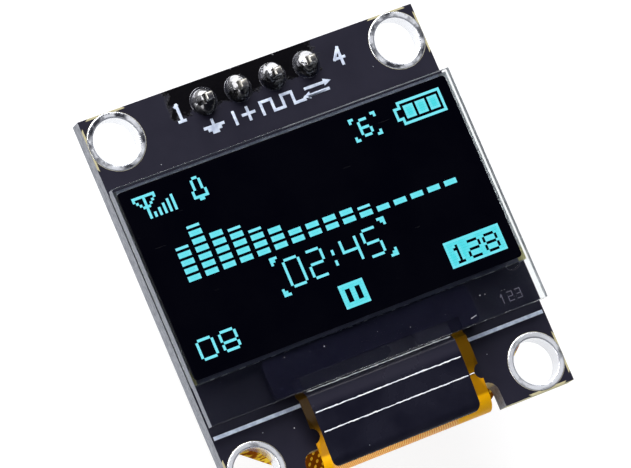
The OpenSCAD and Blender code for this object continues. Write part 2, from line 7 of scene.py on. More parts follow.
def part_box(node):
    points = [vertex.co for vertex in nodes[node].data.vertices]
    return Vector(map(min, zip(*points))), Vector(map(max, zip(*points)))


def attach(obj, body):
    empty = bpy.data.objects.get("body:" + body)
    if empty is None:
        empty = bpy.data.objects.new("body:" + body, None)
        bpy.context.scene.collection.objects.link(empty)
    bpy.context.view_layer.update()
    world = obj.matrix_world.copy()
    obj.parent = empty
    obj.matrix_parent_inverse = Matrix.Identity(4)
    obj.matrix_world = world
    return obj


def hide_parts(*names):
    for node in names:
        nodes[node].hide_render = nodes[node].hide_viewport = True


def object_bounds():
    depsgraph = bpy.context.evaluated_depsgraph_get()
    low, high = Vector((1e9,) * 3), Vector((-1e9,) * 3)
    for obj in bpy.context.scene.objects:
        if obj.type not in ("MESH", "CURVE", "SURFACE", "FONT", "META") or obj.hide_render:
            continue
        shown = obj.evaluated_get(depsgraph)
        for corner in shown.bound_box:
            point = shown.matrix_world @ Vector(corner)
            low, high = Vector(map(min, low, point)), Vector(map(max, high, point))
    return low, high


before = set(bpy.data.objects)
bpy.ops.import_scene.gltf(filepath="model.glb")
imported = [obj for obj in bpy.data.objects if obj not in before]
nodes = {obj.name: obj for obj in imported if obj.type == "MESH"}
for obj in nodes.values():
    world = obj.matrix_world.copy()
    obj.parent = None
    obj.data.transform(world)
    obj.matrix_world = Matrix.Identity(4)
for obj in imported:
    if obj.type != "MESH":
        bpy.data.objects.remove(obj)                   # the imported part: bodies, nodes, joints and record
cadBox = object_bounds()
mm = 0.001
flatAngle = math.radians(0.5)       # faces closer than this to one plane are joined
cornerAngle = math.radians(30)      # edges sharper than this are rounded
weldReach = 0.0002 * mm             # points closer than this are merged


def middle(nodeName):
    low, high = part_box(nodeName)
    return (Vector(low) + Vector(high)) / 2


# places that several pieces and materials share, most of them taken from the frame
landReach = 1.97 * mm                                  # radius of a tinned land round a mounting hole
liningLow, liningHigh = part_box("hole_lining_1")        # the one at the upper left
holeX = -(liningHigh[0] - landReach)
holeY = liningLow[1] + landReach
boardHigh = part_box("board")[1]
glassLow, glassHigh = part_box("front_glass")
pinY = middle("header_pin_1").y
ribbonLow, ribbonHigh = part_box("ribbon")
foldShare = 0.95                                       # share of the bend's radius in the fold's colours
foldY = ribbonLow[1] + (ribbonHigh[2] - ribbonLow[2]) / 2 * foldShare
print("frame loaded:", len(nodes), "nodes")


# small tools for meshes

def pick(obj):
    if bpy.context.object and bpy.context.object.mode != "OBJECT":
        bpy.ops.object.mode_set(mode="OBJECT")
    bpy.ops.object.select_all(action="DESELECT")
    obj.select_set(True)
    bpy.context.view_layer.objects.active = obj


def editAll(obj):
    # into edit mode, with the whole mesh selected
    pick(obj)
    bpy.ops.object.mode_set(mode="EDIT")
    bpy.ops.mesh.select_all(action="SELECT")


def leaveEdit():
    bpy.ops.object.mode_set(mode="OBJECT")


def finishWith(obj, kind, **settings):
    pick(obj)
    modifier = obj.modifiers.new(kind.lower(), kind)
    for key, value in settings.items():
        setattr(modifier, key, value)
    bpy.ops.object.modifier_apply(modifier=modifier.name)


def smoothEdges(obj, degrees=35, flats=False):
    pick(obj)
    bpy.ops.object.shade_smooth_by_angle(angle=math.radians(degrees))
    if flats:                                          # large flat faces keep their own normals
        finishWith(obj, "WEIGHTED_NORMAL", mode="FACE_AREA", weight=100, keep_sharp=True)


def settle(obj, name):
    # the place goes into the mesh, and the object stays at the origin
    pick(obj)
    bpy.ops.object.transform_apply(location=True, rotation=True, scale=True)
    obj.name = name
    obj.data.name = name


def coat(obj, material):
    obj.data.materials.clear()
    obj.data.materials.append(material)


def dress(obj, material):
    coat(obj, material)
    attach(obj, "root")


def copyOf(nodeName, name, keepTriangles=False):
    # a merged copy of a CAD node, ready to be finished
    source = nodes[nodeName]
    piece = source.copy()
    piece.data = source.data.copy()
    bpy.context.collection.objects.link(piece)
    piece.name = name
    piece.data.name = name
    editAll(piece)
    bpy.ops.mesh.remove_doubles(threshold=weldReach)
    if not keepTriangles:
        bpy.ops.mesh.dissolve_limited(angle_limit=flatAngle)
    leaveEdit()
    return piece


def roundedCopy(nodeName, name, bevel, material, segments=2):
    piece = copyOf(nodeName, name)
    finishWith(piece, "BEVEL", width=bevel * mm, segments=segments, limit_method="ANGLE",
               angle_limit=cornerAngle, use_clamp_overlap=True)
    smoothEdges(piece, 35, True)
    dress(piece, material)
    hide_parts(nodeName)


def addSlab(low, high, name):
    # a block from its lowest to its highest corner
    bpy.ops.mesh.primitive_cube_add(size=1, location=(Vector(low) + Vector(high)) / 2)
    slab = bpy.context.object
    slab.scale = Vector(high) - Vector(low)
    settle(slab, name)
    return slab


def addStroke(start, end, wide, thick, floorZ):
    # one straight printed stroke between two points, lying on a surface
    run = end - start
    centre = (start + end) / 2
    bpy.ops.mesh.primitive_cube_add(size=1, location=(centre.x, centre.y, floorZ + thick / 2),
                                    rotation=(0, 0, math.atan2(run.y, run.x)))
    stroke = bpy.context.object
    stroke.scale = (run.length + wide, wide, thick)
    return stroke


def selectNothing(obj):
    pick(obj)
    for part in (obj.data.vertices, obj.data.edges, obj.data.polygons):
        for item in part:
            item.select = False


def selectFaces(obj, test):
    # into edit mode, with the faces selected that pass the test
    selectNothing(obj)
    bpy.context.tool_settings.mesh_select_mode = (False, False, True)
    for face in obj.data.polygons:
        face.select = test(face)
    bpy.ops.object.mode_set(mode="EDIT")


def selectEdges(obj, test):
    # into edit mode, with the edges selected whose two ends pass the test
    selectNothing(obj)
    bpy.context.tool_settings.mesh_select_mode = (False, True, False)
    for edge in obj.data.edges:
        a, b = (obj.data.vertices[i].co for i in edge.vertices)
        edge.select = test(a, b)
    bpy.ops.object.mode_set(mode="EDIT")


def joinAll(objs, name):
    bpy.ops.object.select_all(action="DESELECT")
    for obj in objs:
        obj.select_set(True)
    bpy.context.view_layer.objects.active = objs[0]
    bpy.ops.object.join()
    settle(objs[0], name)
    return objs[0]


# small tools for shader nodes

def plug(tree, value, socket):
    # a value is either another node's output or a plain number or colour
    if isinstance(value, bpy.types.NodeSocket):
        tree.links.new(value, socket)
    else:
        socket.default_value = value


def put(tree, kind, settings=None, values=None):
    node = tree.nodes.new("ShaderNode" + kind)
    for key, value in (settings or {}).items():
        setattr(node, key, value)
    for key, value in (values or {}).items():
        plug(tree, value, node.inputs[key])
    return node


def sums(tree, operation, a, b=None, c=None):
    node = put(tree, "Math", {"operation": operation}, {0: a})
    for index, value in ((1, b), (2, c)):
        if value is not None:
            plug(tree, value, node.inputs[index])
    return node.outputs[0]


def blendOf(tree, factor, a, b):
    node = put(tree, "Mix", {"data_type": "RGBA"})
    for index, value in ((0, factor), (6, a), (7, b)):
        plug(tree, value, node.inputs[index])
    return node.outputs[2]


def rampOf(tree, factor, low, high, lowOut=0.0, highOut=1.0):
    # a soft step from one value to another
    node = put(tree, "MapRange", {"clamp": True, "interpolation_type": "SMOOTHSTEP"},
               {"Value": factor, "From Min": low, "From Max": high, "To Min": lowOut, "To Max": highOut})
    return node.outputs["Result"]


def noiseOf(tree, vector, scale, detail=3.0, roughness=0.55):
    node = put(tree, "TexNoise", {}, {"Vector": vector, "Scale": scale, "Detail": detail,
                                     "Roughness": roughness})
    return node.outputs["Fac"]


def axesOf(tree, vector):
    parts = put(tree, "SeparateXYZ", {}, {"Vector": vector})
    return [parts.outputs[axis] for axis in "XYZ"]


def normalOf(tree):
    return put(tree, "TexCoord").outputs["Normal"]


def laidOut(tree, vector, scale, turn=0):
    # the same coordinates, scaled and turned by some degrees
    node = put(tree, "Mapping", {}, {"Vector": vector, "Scale": scale,
                                     "Rotation": (0, 0, math.radians(turn))})
    return node.outputs["Vector"]


def coloured(r, g, b):
    # a colour as it is seen on a screen, 0 to 255, turned into light
    def light(c):
        c = c / 255
        return c / 12.92 if c <= 0.04045 else ((c + 0.055) / 1.055) ** 2.4
    return (light(r), light(g), light(b), 1.0)


def grey(value):
    return (value, value, value, 1.0)


def startMaterial(name, **plain):
    # plain: the shader's own sockets, with _ for a space
    material = bpy.data.materials.new(name)
    material.use_nodes = True
    tree = material.node_tree
    shader = tree.nodes["Principled BSDF"]
    for key, value in plain.items():
        shader.inputs[key.replace("_", " ")].default_value = value
    place = laidOut(tree, put(tree, "TexCoord").outputs["Object"], (1 / mm,) * 3)
    return material, tree, shader, place               # patterns are laid out in millimetres


def bumpOf(tree, shader, height, distance):
    bump = put(tree, "Bump", {}, {"Height": height, "Distance": distance * mm})
    tree.links.new(bump.outputs["Normal"], shader.inputs["Normal"])


def useGroup(tree, group, **values):
    node = tree.nodes.new("ShaderNodeGroup")
    node.node_tree = group
    for key, value in values.items():
        plug(tree, value, node.inputs[key])
    return node.outputs


def startGroup(name, inputs, outputs):
    group = bpy.data.node_groups.new(name, "ShaderNodeTree")
    for label, kind, value in inputs:
        socket = group.interface.new_socket(label, in_out="INPUT", socket_type="NodeSocket" + kind)
        if value is not None:
            socket.default_value = value
    for label, kind in outputs:
        group.interface.new_socket(label, in_out="OUTPUT", socket_type="NodeSocket" + kind)
    start = group.nodes.new("NodeGroupInput")
    end = group.nodes.new("NodeGroupOutput")
    return group, start.outputs, end.inputs


# shared effects

def makeGrain():
    # fine tooth and soft mottling of a surface
    group, given, result = startGroup("grain", [("Vector", "Vector", None), ("Coarse", "Float", 1.5),
                                                ("Fine", "Float", 20.0)],
                                      [("Height", "Float"), ("Mottle", "Float")])
    fineShare = 0.35
    coarse = noiseOf(group, given["Vector"], given["Coarse"], detail=4.0)
    fine = noiseOf(group, given["Vector"], given["Fine"], detail=2.0)
    group.links.new(sums(group, "MULTIPLY_ADD", fine, fineShare, coarse), result["Height"])
    group.links.new(rampOf(group, coarse, 0.3, 0.7), result["Mottle"])
    return group


def makeSpecks():
    # sparse dust specks: 1 on a speck
    group, given, result = startGroup("specks", [("Vector", "Vector", None), ("Scale", "Float", 1.0),
                                                 ("Size", "Float", 0.06)], [("Mask", "Float")])
    empty = 0.72                                       # share of the cells that hold no speck
    cells = put(group, "TexVoronoi", {"feature": "F1"}, {"Vector": given["Vector"], "Scale": given["Scale"]})
    chance = put(group, "SeparateColor", {}, {"Color": cells.outputs["Color"]}).outputs[0]
    keep = sums(group, "GREATER_THAN", chance, empty)
    near = sums(group, "LESS_THAN", cells.outputs["Distance"], given["Size"])
    group.links.new(sums(group, "MULTIPLY", keep, near), result["Mask"])
    return group


def makeScratches():
    # long fine scratches along one way: 1 on a scratch
    group, given, result = startGroup("scratches", [("Vector", "Vector", None), ("Scale", "Float", 1.0)],
                                      [("Mask", "Float")])
    lay = {"turn": 32, "stretch": (0.25, 6, 1), "patch": 0.6}
    drawn = laidOut(group, given["Vector"], lay["stretch"], lay["turn"])
    sharp = rampOf(group, noiseOf(group, drawn, given["Scale"], detail=2.0), 0.69, 0.73)
    patches = rampOf(group, noiseOf(group, given["Vector"], lay["patch"], detail=1.0), 0.5, 0.62)
    group.links.new(sums(group, "MULTIPLY", sharp, patches), result["Mask"])
    return group


def makeUpFace():
    # 1 on faces that look up or down, 0 on walls
    group, given, result = startGroup("upFace", [("Normal", "Vector", None)], [("Mask", "Float")])
    steep = sums(group, "ABSOLUTE", axesOf(group, given["Normal"])[2])
    group.links.new(sums(group, "GREATER_THAN", steep, 0.6), result["Mask"])
    return group


def makeHoleField():
    # distance in millimetres from the nearest of four corner points
    group, given, result = startGroup("holeField", [("Vector", "Vector", None), ("Across", "Float", 1.0),
                                                    ("Up", "Float", 1.0)], [("Distance", "Float")])
    x, y = axesOf(group, given["Vector"])[:2]
    dx = sums(group, "SUBTRACT", sums(group, "ABSOLUTE", x), given["Across"])
    dy = sums(group, "SUBTRACT", sums(group, "ABSOLUTE", y), given["Up"])
    total = sums(group, "ADD", sums(group, "MULTIPLY", dx, dx), sums(group, "MULTIPLY", dy, dy))
    group.links.new(sums(group, "SQRT", total), result["Distance"])
    return group


grain = makeGrain()
specks = makeSpecks()
scratches = makeScratches()
upFace = makeUpFace()
holeField = makeHoleField()


def dusted(tree, place, paint, scale, size, amount, colour):
    # a colour with specks of another one over it
    mask = useGroup(tree, specks, Vector=place, Scale=scale, Size=size)["Mask"]
    return blendOf(tree, sums(tree, "MULTIPLY", mask, amount), paint, colour)


# materials

def makeMaskMaterial():
    # dark mask on the faces, bare laminate at the holes, glass cloth on the cut edges, flux round the pins
    look = {"mask": coloured(31, 30, 42), "maskPale": coloured(35, 34, 46), "bare": coloured(186, 178, 140),
            "cloth": coloured(174, 177, 183), "clothDark": coloured(116, 118, 124),
            "clothYellow": coloured(214, 208, 158), "flux": coloured(13, 12, 14),
            "debris": coloured(150, 150, 154), "dust": coloured(140, 140, 150),
            "rough": 0.4, "fluxRough": 0.12, "edgeRough": 0.85}
    bareSpots = {"opening": 1.985, "sliver": 0.13, "sliverReach": 2.35}
    spill = {"left": -6.9, "right": 5.3, "low": 11.15, "fade": 0.9, "fadeLow": 0.55, "ragged": -2.3}
    relief = {"tooth": 0.15, "crust": 3.5, "depth": 0.02}
    material, tree, shader, place = startMaterial("solderMask", Specular_IOR_Level=0.2)
    x, y, z = axesOf(tree, place)
    ring = useGroup(tree, holeField, Vector=place, Across=holeX / mm, Up=holeY / mm)["Distance"]
    opening = sums(tree, "LESS_THAN", ring, bareSpots["opening"])
    # slivers of bare laminate between the rings and the board's edges
    fromSide = sums(tree, "SUBTRACT", sums(tree, "ABSOLUTE", x), boardHigh[0] / mm - bareSpots["sliver"])
    fromEnd = sums(tree, "SUBTRACT", sums(tree, "ABSOLUTE", y), boardHigh[1] / mm - bareSpots["sliver"])
    atEdge = sums(tree, "GREATER_THAN", sums(tree, "MAXIMUM", fromSide, fromEnd), 0)
    sliver = sums(tree, "MULTIPLY", atEdge, sums(tree, "LESS_THAN", ring, bareSpots["sliverReach"]))
    bare = sums(tree, "MAXIMUM", opening, sliver)
    # flux burnt on round the pins, up to the edge behind them
    pastSides = sums(tree, "MAXIMUM", sums(tree, "SUBTRACT", spill["left"] + spill["fade"], x),
                     sums(tree, "SUBTRACT", x, spill["right"] - spill["fade"]))
    outside = sums(tree, "MAXIMUM", pastSides, sums(tree, "SUBTRACT", spill["low"] + spill["fadeLow"], y))
    ragged = sums(tree, "MULTIPLY_ADD", noiseOf(tree, place, 1.5, detail=6.0, roughness=0.72),
                  spill["ragged"], outside)
    front = sums(tree, "GREATER_THAN", z, 0.5)
    flux = sums(tree, "MULTIPLY", rampOf(tree, ragged, -1.15, -0.85, 1.0, 0.0), front)
    tooth = useGroup(tree, grain, Vector=place, Coarse=0.5, Fine=16.0)
    painted = blendOf(tree, tooth["Mottle"], look["mask"], look["maskPale"])
    painted = blendOf(tree, flux, painted, look["flux"])
    painted = dusted(tree, place, painted, 2.6, 0.16, sums(tree, "MULTIPLY", flux, 0.5), look["debris"])
    painted = dusted(tree, place, painted, 0.7, 0.045, 0.5, look["dust"])
    painted = blendOf(tree, bare, painted, look["bare"])
    # cut edges: layers of glass cloth, yellower on the lower one
    layers = noiseOf(tree, laidOut(tree, place, (1.6, 1.6, 7)), 1.6, detail=5.0, roughness=0.75)
    edge = blendOf(tree, rampOf(tree, layers, 0.3, 0.7), look["clothDark"], look["cloth"])
    lowerEdge = rampOf(tree, axesOf(tree, normalOf(tree))[1], -0.7, -0.5, 0.7, 0.0)
    edge = blendOf(tree, lowerEdge, edge, look["clothYellow"])
    up = useGroup(tree, upFace, Normal=normalOf(tree))["Mask"]
    tree.links.new(blendOf(tree, up, edge, painted), shader.inputs["Base Color"])
    rough = blendOf(tree, flux, grey(look["rough"]), grey(look["fluxRough"]))
    tree.links.new(blendOf(tree, up, grey(look["edgeRough"]), rough), shader.inputs["Roughness"])
    crust = sums(tree, "MULTIPLY", flux, noiseOf(tree, place, 1.3))
    height = sums(tree, "MULTIPLY_ADD", crust, relief["crust"],
                  sums(tree, "MULTIPLY", tooth["Height"], relief["tooth"]))
    bumpOf(tree, shader, height, relief["depth"])
    return material


def makeMetalMaterial(name, base, dark, smoothest, roughest, coarse, bump, metallic=1.0):
    # soft mottling: the darker, the rougher
    material, tree, shader, place = startMaterial(name, Metallic=metallic)
    tooth = useGroup(tree, grain, Vector=place, Coarse=coarse, Fine=coarse * 6)
    tree.links.new(blendOf(tree, tooth["Mottle"], dark, base), shader.inputs["Base Color"])
    tree.links.new(rampOf(tree, tooth["Mottle"], 0, 1, roughest, smoothest), shader.inputs["Roughness"])
    bumpOf(tree, shader, tooth["Height"], bump)
    return material


def makeSolderMaterial():
    # bright solder, darkened on the side of each drop away from the board's edge and the key lamp: partly
    # burnt flux, partly a painted dark reflection
    look = {"tin": coloured(244, 244, 246), "tinDark": coloured(206, 206, 210), "fluxAndDarkReflection": coloured(22, 21, 21),
            "fluxAndDarkReflectionFrom": 0.9, "blotch": 1.3, "crust": 0.6, "fine": 0.02, "facets": 1.5, "tilt": 0.7}
    material, tree, shader, place = startMaterial("solderShine", Metallic=0.9)
    y, z = axesOf(tree, place)[1:]
    tooth = useGroup(tree, grain, Vector=place, Coarse=1.4, Fine=7.0)
    tin = blendOf(tree, tooth["Mottle"], look["tinDark"], look["tin"])
    # painted dark reflection and burnt flux: dark blotches over the lower side of each drop
    blotch = sums(tree, "MULTIPLY_ADD", noiseOf(tree, place, 3.0, detail=4.0, roughness=0.7), look["blotch"],
                  sums(tree, "SUBTRACT", y, pinY / mm + look["fluxAndDarkReflectionFrom"]))
    front = sums(tree, "GREATER_THAN", z, 1.0)
    fluxAndDarkReflection = sums(tree, "MULTIPLY", rampOf(tree, blotch, -0.42, -0.12, 0.92, 0.0), front)
    tree.links.new(blendOf(tree, fluxAndDarkReflection, tin, look["fluxAndDarkReflection"]), shader.inputs["Base Color"])
    tree.links.new(rampOf(tree, tooth["Mottle"], 0, 1, 0.13, 0.05), shader.inputs["Roughness"])
    # broad flat facets: each cell of the pattern is tilted its own way
    cells = put(tree, "TexVoronoi", {}, {"Vector": place, "Scale": look["facets"]})
    tilt = put(tree, "VectorMath", {"operation": "SUBTRACT"}, {0: cells.outputs["Color"], 1: (0.5, 0.5, 0.5)})
    offset = put(tree, "VectorMath", {"operation": "SUBTRACT"}, {0: place, 1: cells.outputs["Position"]})
    facets = put(tree, "VectorMath", {"operation": "DOT_PRODUCT"},
                 {0: tilt.outputs["Vector"], 1: offset.outputs["Vector"]}).outputs["Value"]
    crusted = sums(tree, "MULTIPLY_ADD", fluxAndDarkReflection, look["crust"], tooth["Height"])
    height = sums(tree, "MULTIPLY_ADD", facets, look["tilt"], sums(tree, "MULTIPLY", crusted, look["fine"]))
    bumpOf(tree, shader, height, 1.0)
    return material


def makeRingMaterial():
    # tin on the hole lands: clean and bright at both rims, in dark and pale patches between them; the lower
    # lands are made paler, a painted reflection
    look = {"rim": coloured(238, 240, 244), "dark": coloured(84, 86, 94), "pale": coloured(226, 228, 232),
            "innerRim": (1.62, 1.69), "outerRim": (1.88, 1.93), "reflectionPalerBelow": 0.13,
            "metallic": 0.75, "metallicPale": 0.25}
    material, tree, shader, place = startMaterial("ringTin", Roughness=0.24)
    reach = useGroup(tree, holeField, Vector=place, Across=holeX / mm, Up=holeY / mm)["Distance"]
    betweenRims = sums(tree, "MULTIPLY", rampOf(tree, reach, *look["innerRim"]),
                       rampOf(tree, reach, *look["outerRim"], 1.0, 0.0))
    onTop = rampOf(tree, sums(tree, "ABSOLUTE", axesOf(tree, normalOf(tree))[2]), 0.3, 0.6)
    band = sums(tree, "MULTIPLY", betweenRims, onTop)
    # painted reflection: the lands at the lower end get more pale patches
    lower = rampOf(tree, axesOf(tree, place)[1], -1, 1, look["reflectionPalerBelow"], 0.0)
    patches = rampOf(tree, sums(tree, "ADD", noiseOf(tree, place, 0.75, roughness=0.6), lower), 0.4, 0.62)
    patched = blendOf(tree, patches, look["dark"], look["pale"])
    tree.links.new(blendOf(tree, band, look["rim"], patched), shader.inputs["Base Color"])
    metal = rampOf(tree, sums(tree, "MULTIPLY", band, patches), 0, 1, look["metallic"], look["metallicPale"])
    tree.links.new(metal, shader.inputs["Metallic"])
    tooth = useGroup(tree, grain, Vector=place, Coarse=1.1, Fine=9.0)
    bumpOf(tree, shader, tooth["Height"], 0.05)
    return material


def makePlasticMaterial(name, base, mottled, roughness, coarse, bump, dustAmount=0.0, **plain):
    # two close colours in soft patches, with a fine tooth
    look = {"dust": coloured(190, 190, 195), "spread": 0.05}
    material, tree, shader, place = startMaterial(name, **plain)
    tooth = useGroup(tree, grain, Vector=place, Coarse=coarse, Fine=coarse * 8)
    paint = blendOf(tree, tooth["Mottle"], base, mottled)
    if dustAmount:
        paint = dusted(tree, place, paint, 1.6, 0.05, dustAmount, look["dust"])
    tree.links.new(paint, shader.inputs["Base Color"])
    rough = rampOf(tree, tooth["Mottle"], 0, 1, roughness - look["spread"], roughness + look["spread"])
    tree.links.new(rough, shader.inputs["Roughness"])
    bumpOf(tree, shader, tooth["Height"], bump)
    return material


def makeAmberMaterial():
    # see-through amber film: its colour follows what lies behind it and the copper tracks in it, with painted
    # light on the thin tail and its cut ends
    look = {"film": coloured(184, 128, 2), "filmDark": coloured(156, 106, 2), "upper": coloured(98, 67, 0),
            "upperLeft": coloured(46, 30, 2), "upperFrom": -11.6, "upperTo": -10.1,
            "side": coloured(250, 182, 6), "filmPale": coloured(255, 214, 128),
            "copper": coloured(240, 150, 74), "ink": coloured(29, 28, 44), "gold": coloured(255, 212, 60),
            "gap": coloured(132, 74, 6), "cut": coloured(255, 236, 60), "streak": coloured(150, 74, 8)}
    tracks = {"pitch": 0.17, "share": 0.55, "fan": 0.18, "fanFrom": 13.2, "foldFade": 0.12,
              "leftFade": (-0.1, 0.3), "rightFade": (-1.9, -1.5)}
    tail = {"dotPitch": 0.4, "dotTurn": 42, "dotHalf": (0.2, 0.34), "netHalf": 7.6, "past": 0.6, "top": 0.3,
            "streakStretch": (0.9, 4.5, 1)}
    material, tree, shader, place = startMaterial("amberFilm", Roughness=0.3, Specular_IOR_Level=0.04,
                                                  Emission_Strength=0.22)
    x, y, z = axesOf(tree, place)
    tooth = useGroup(tree, grain, Vector=place, Coarse=0.5, Fine=14.0)
    film = blendOf(tree, tooth["Mottle"], look["filmDark"], look["film"])
    # darker on its upper part, and darker still towards the left
    upper = blendOf(tree, rampOf(tree, x, -1, 1), look["upperLeft"], look["upper"])
    film = blendOf(tree, rampOf(tree, y, look["upperFrom"], look["upperTo"]), film, upper)
    # copper tracks, fanned a little, where they run round the fold
    fan = sums(tree, "MULTIPLY", sums(tree, "ADD", y, tracks["fanFrom"]), x)
    fanned = sums(tree, "MULTIPLY_ADD", fan, tracks["fan"], x)
    track = sums(tree, "LESS_THAN", sums(tree, "FRACT", sums(tree, "DIVIDE", fanned, tracks["pitch"])),
                 tracks["share"])
    left, right = (corner[0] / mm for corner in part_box("ribbon_cover"))
    leftFade, rightFade = tracks["leftFade"], tracks["rightFade"]
    inside = sums(tree, "MULTIPLY", rampOf(tree, x, left + leftFade[0], left + leftFade[1]),
                  rampOf(tree, x, right + rightFade[0], right + rightFade[1], 1.0, 0.0))
    folded = rampOf(tree, y, foldY / mm + tracks["foldFade"], foldY / mm - tracks["foldFade"])
    tracked = blendOf(tree, track, look["filmPale"], look["copper"])
    film = blendOf(tree, folded, film, blendOf(tree, inside, look["side"], tracked))
    # the tail behind the board: gold dots in a slanted net, and streaks of tracks in its corners
    turned = laidOut(tree, place, (1 / tail["dotPitch"],) * 3, tail["dotTurn"])
    cell = put(tree, "VectorMath", {"operation": "FRACTION"}, {0: turned}).outputs["Vector"]
    dx, dy = (sums(tree, "DIVIDE", sums(tree, "SUBTRACT", way, 0.5), half)
              for way, half in zip(axesOf(tree, cell), tail["dotHalf"]))
    reach = sums(tree, "ADD", sums(tree, "MULTIPLY", dx, dx), sums(tree, "MULTIPLY", dy, dy))
    net = blendOf(tree, rampOf(tree, reach, 0.7, 1.2, 1.0, 0.0), look["gap"], look["gold"])
    stretched = laidOut(tree, place, tail["streakStretch"])
    streaks = rampOf(tree, noiseOf(tree, stretched, 1.2), 0.42, 0.58)
    corner = blendOf(tree, streaks, look["streak"], look["gold"])
    inNet = sums(tree, "LESS_THAN", sums(tree, "ABSOLUTE", x), tail["netHalf"])
    behind = sums(tree, "MULTIPLY", sums(tree, "LESS_THAN", z, tail["top"]),
                  sums(tree, "GREATER_THAN", y, foldY / mm - tail["past"]))
    film = blendOf(tree, behind, film, blendOf(tree, inNet, corner, net))
    # inked where it is bonded under the glass
    inked = sums(tree, "MULTIPLY", sums(tree, "GREATER_THAN", y, glassLow[1] / mm + 0.02),
                 sums(tree, "GREATER_THAN", z, 1.0))
    film = blendOf(tree, inked, film, look["ink"])
    # painted light: the tail's cut ends are made pale yellow for the light they let through
    atCut = rampOf(tree, sums(tree, "ABSOLUTE", axesOf(tree, normalOf(tree))[0]), 0.93, 0.99)
    film = blendOf(tree, sums(tree, "MULTIPLY", atCut, behind), film, look["cut"])
    tree.links.new(film, shader.inputs["Base Color"])
    # painted glow: the thin tail gives off its own colour, for the light that comes through it from behind
    tree.links.new(blendOf(tree, behind, grey(0), film), shader.inputs["Emission Color"])
    height = sums(tree, "MULTIPLY_ADD", sums(tree, "MULTIPLY", track, folded), 0.3,
                  sums(tree, "MULTIPLY", tooth["Height"], 0.4))
    bumpOf(tree, shader, height, 0.015)
    return material


def makeCoverFilmMaterial():
    # near-black film, a little paler above its middle crease: a painted sheen
    look = {"film": coloured(29, 29, 40), "deep": coloured(20, 20, 31), "upper": coloured(40, 39, 50),
            "dust": coloured(170, 175, 185), "upperFrom": -9.5, "upperTo": -8.9}
    material, tree, shader, place = startMaterial("coverFilm", Specular_IOR_Level=0.32)
    tooth = useGroup(tree, grain, Vector=place, Coarse=0.35, Fine=10.0)
    paint = blendOf(tree, tooth["Mottle"], look["deep"], look["film"])
    # painted sheen: paler above the middle crease
    paintedSheenTop = rampOf(tree, axesOf(tree, place)[1], look["upperFrom"], look["upperTo"])
    paint = blendOf(tree, paintedSheenTop, paint, look["upper"])
    paint = dusted(tree, place, paint, 1.4, 0.05, 0.35, look["dust"])
    tree.links.new(paint, shader.inputs["Base Color"])
    tree.links.new(rampOf(tree, tooth["Mottle"], 0, 1, 0.2, 0.28), shader.inputs["Roughness"])
    bumpOf(tree, shader, tooth["Height"], 0.012)
    return material


def makeClearGlassMaterial():
    # clear, with a few fine scratches
    material, tree, shader, place = startMaterial("polishedGlass", Metallic=0.0, Transmission_Weight=1.0,
                                                  IOR=1.5, Roughness=0.02, Base_Color=(0.93, 0.96, 0.96, 1))
    marks = useGroup(tree, scratches, Vector=place, Scale=1.3)["Mask"]
    bumpOf(tree, shader, marks, 0.004)
    return material


def makeGlassEdgeMaterial():
    # the cut walls of the glass: pale bands, with painted shade making the left wall darker
    look = {"dark": coloured(140, 144, 150), "pale": coloured(226, 229, 233),
            "leftShadeDark": coloured(86, 90, 101), "leftShadePale": coloured(122, 127, 139)}
    material, tree, shader, place = startMaterial("glassEdge", Roughness=0.3, Emission_Strength=0.25)
    bands = noiseOf(tree, laidOut(tree, place, (0.8, 0.8, 9)), 1.4, detail=4.0, roughness=0.7)
    banded = rampOf(tree, bands, 0.35, 0.6)
    paint = blendOf(tree, banded, look["dark"], look["pale"])
    # painted shade on the left wall
    leftShadedPaint = blendOf(tree, banded, look["leftShadeDark"], look["leftShadePale"])
    leftWall = sums(tree, "LESS_THAN", axesOf(tree, place)[0], 0)
    tree.links.new(blendOf(tree, leftWall, paint, leftShadedPaint), shader.inputs["Base Color"])
    # painted glow: the right wall, seen from inside the glass, gives off its own colour for the light that
    # comes in through it
    within = put(tree, "NewGeometry").outputs["Backfacing"]
    paintedGlow = sums(tree, "MULTIPLY", within, sums(tree, "SUBTRACT", 1, leftWall))
    tree.links.new(blendOf(tree, paintedGlow, grey(0), paint), shader.inputs["Emission Color"])
    bumpOf(tree, shader, bands, 0.03)
    return material


def makeGlueMaterial():
    # the glue line round the panel: bluish above it, dim below it, grey to white along its sides
    look = {"above": coloured(186, 194, 218), "abovePale": coloured(226, 232, 245),
            "below": coloured(92, 95, 112), "side": coloured(226, 230, 231),
            "sideGrey": coloured(150, 153, 156), "yellow": coloured(226, 218, 140)}
    material, tree, shader, place = startMaterial("edgeGlue", Roughness=0.35)
    x, y = axesOf(tree, place)[:2]
    low, high = ([value / mm for value in corner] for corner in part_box("polarizer"))
    stretched = laidOut(tree, place, (5, 0.5, 1))
    streaks = rampOf(tree, noiseOf(tree, stretched, 2.0, detail=4.0, roughness=0.7), 0.35, 0.65)
    above = blendOf(tree, streaks, look["above"], look["abovePale"])
    ends = blendOf(tree, rampOf(tree, y, -1, 1), look["below"], above)
    sides = blendOf(tree, rampOf(tree, x, high[0] - 0.05, high[0] + 0.22), look["sideGrey"], look["side"])
    sides = blendOf(tree, sums(tree, "MULTIPLY", streaks, 0.25), sides, look["sideGrey"])
    sides = blendOf(tree, rampOf(tree, y, low[1] + 0.5, low[1] + 0.9, 0.85, 0.0), sides, look["yellow"])
    atSide = sums(tree, "MAXIMUM", rampOf(tree, x, high[0] - 0.2, high[0] - 0.1),
                  rampOf(tree, x, low[0] + 0.2, low[0] + 0.3, 1.0, 0.0))
    tree.links.new(blendOf(tree, atSide, ends, sides), shader.inputs["Base Color"])
    bumpOf(tree, shader, streaks, 0.01)
    return material


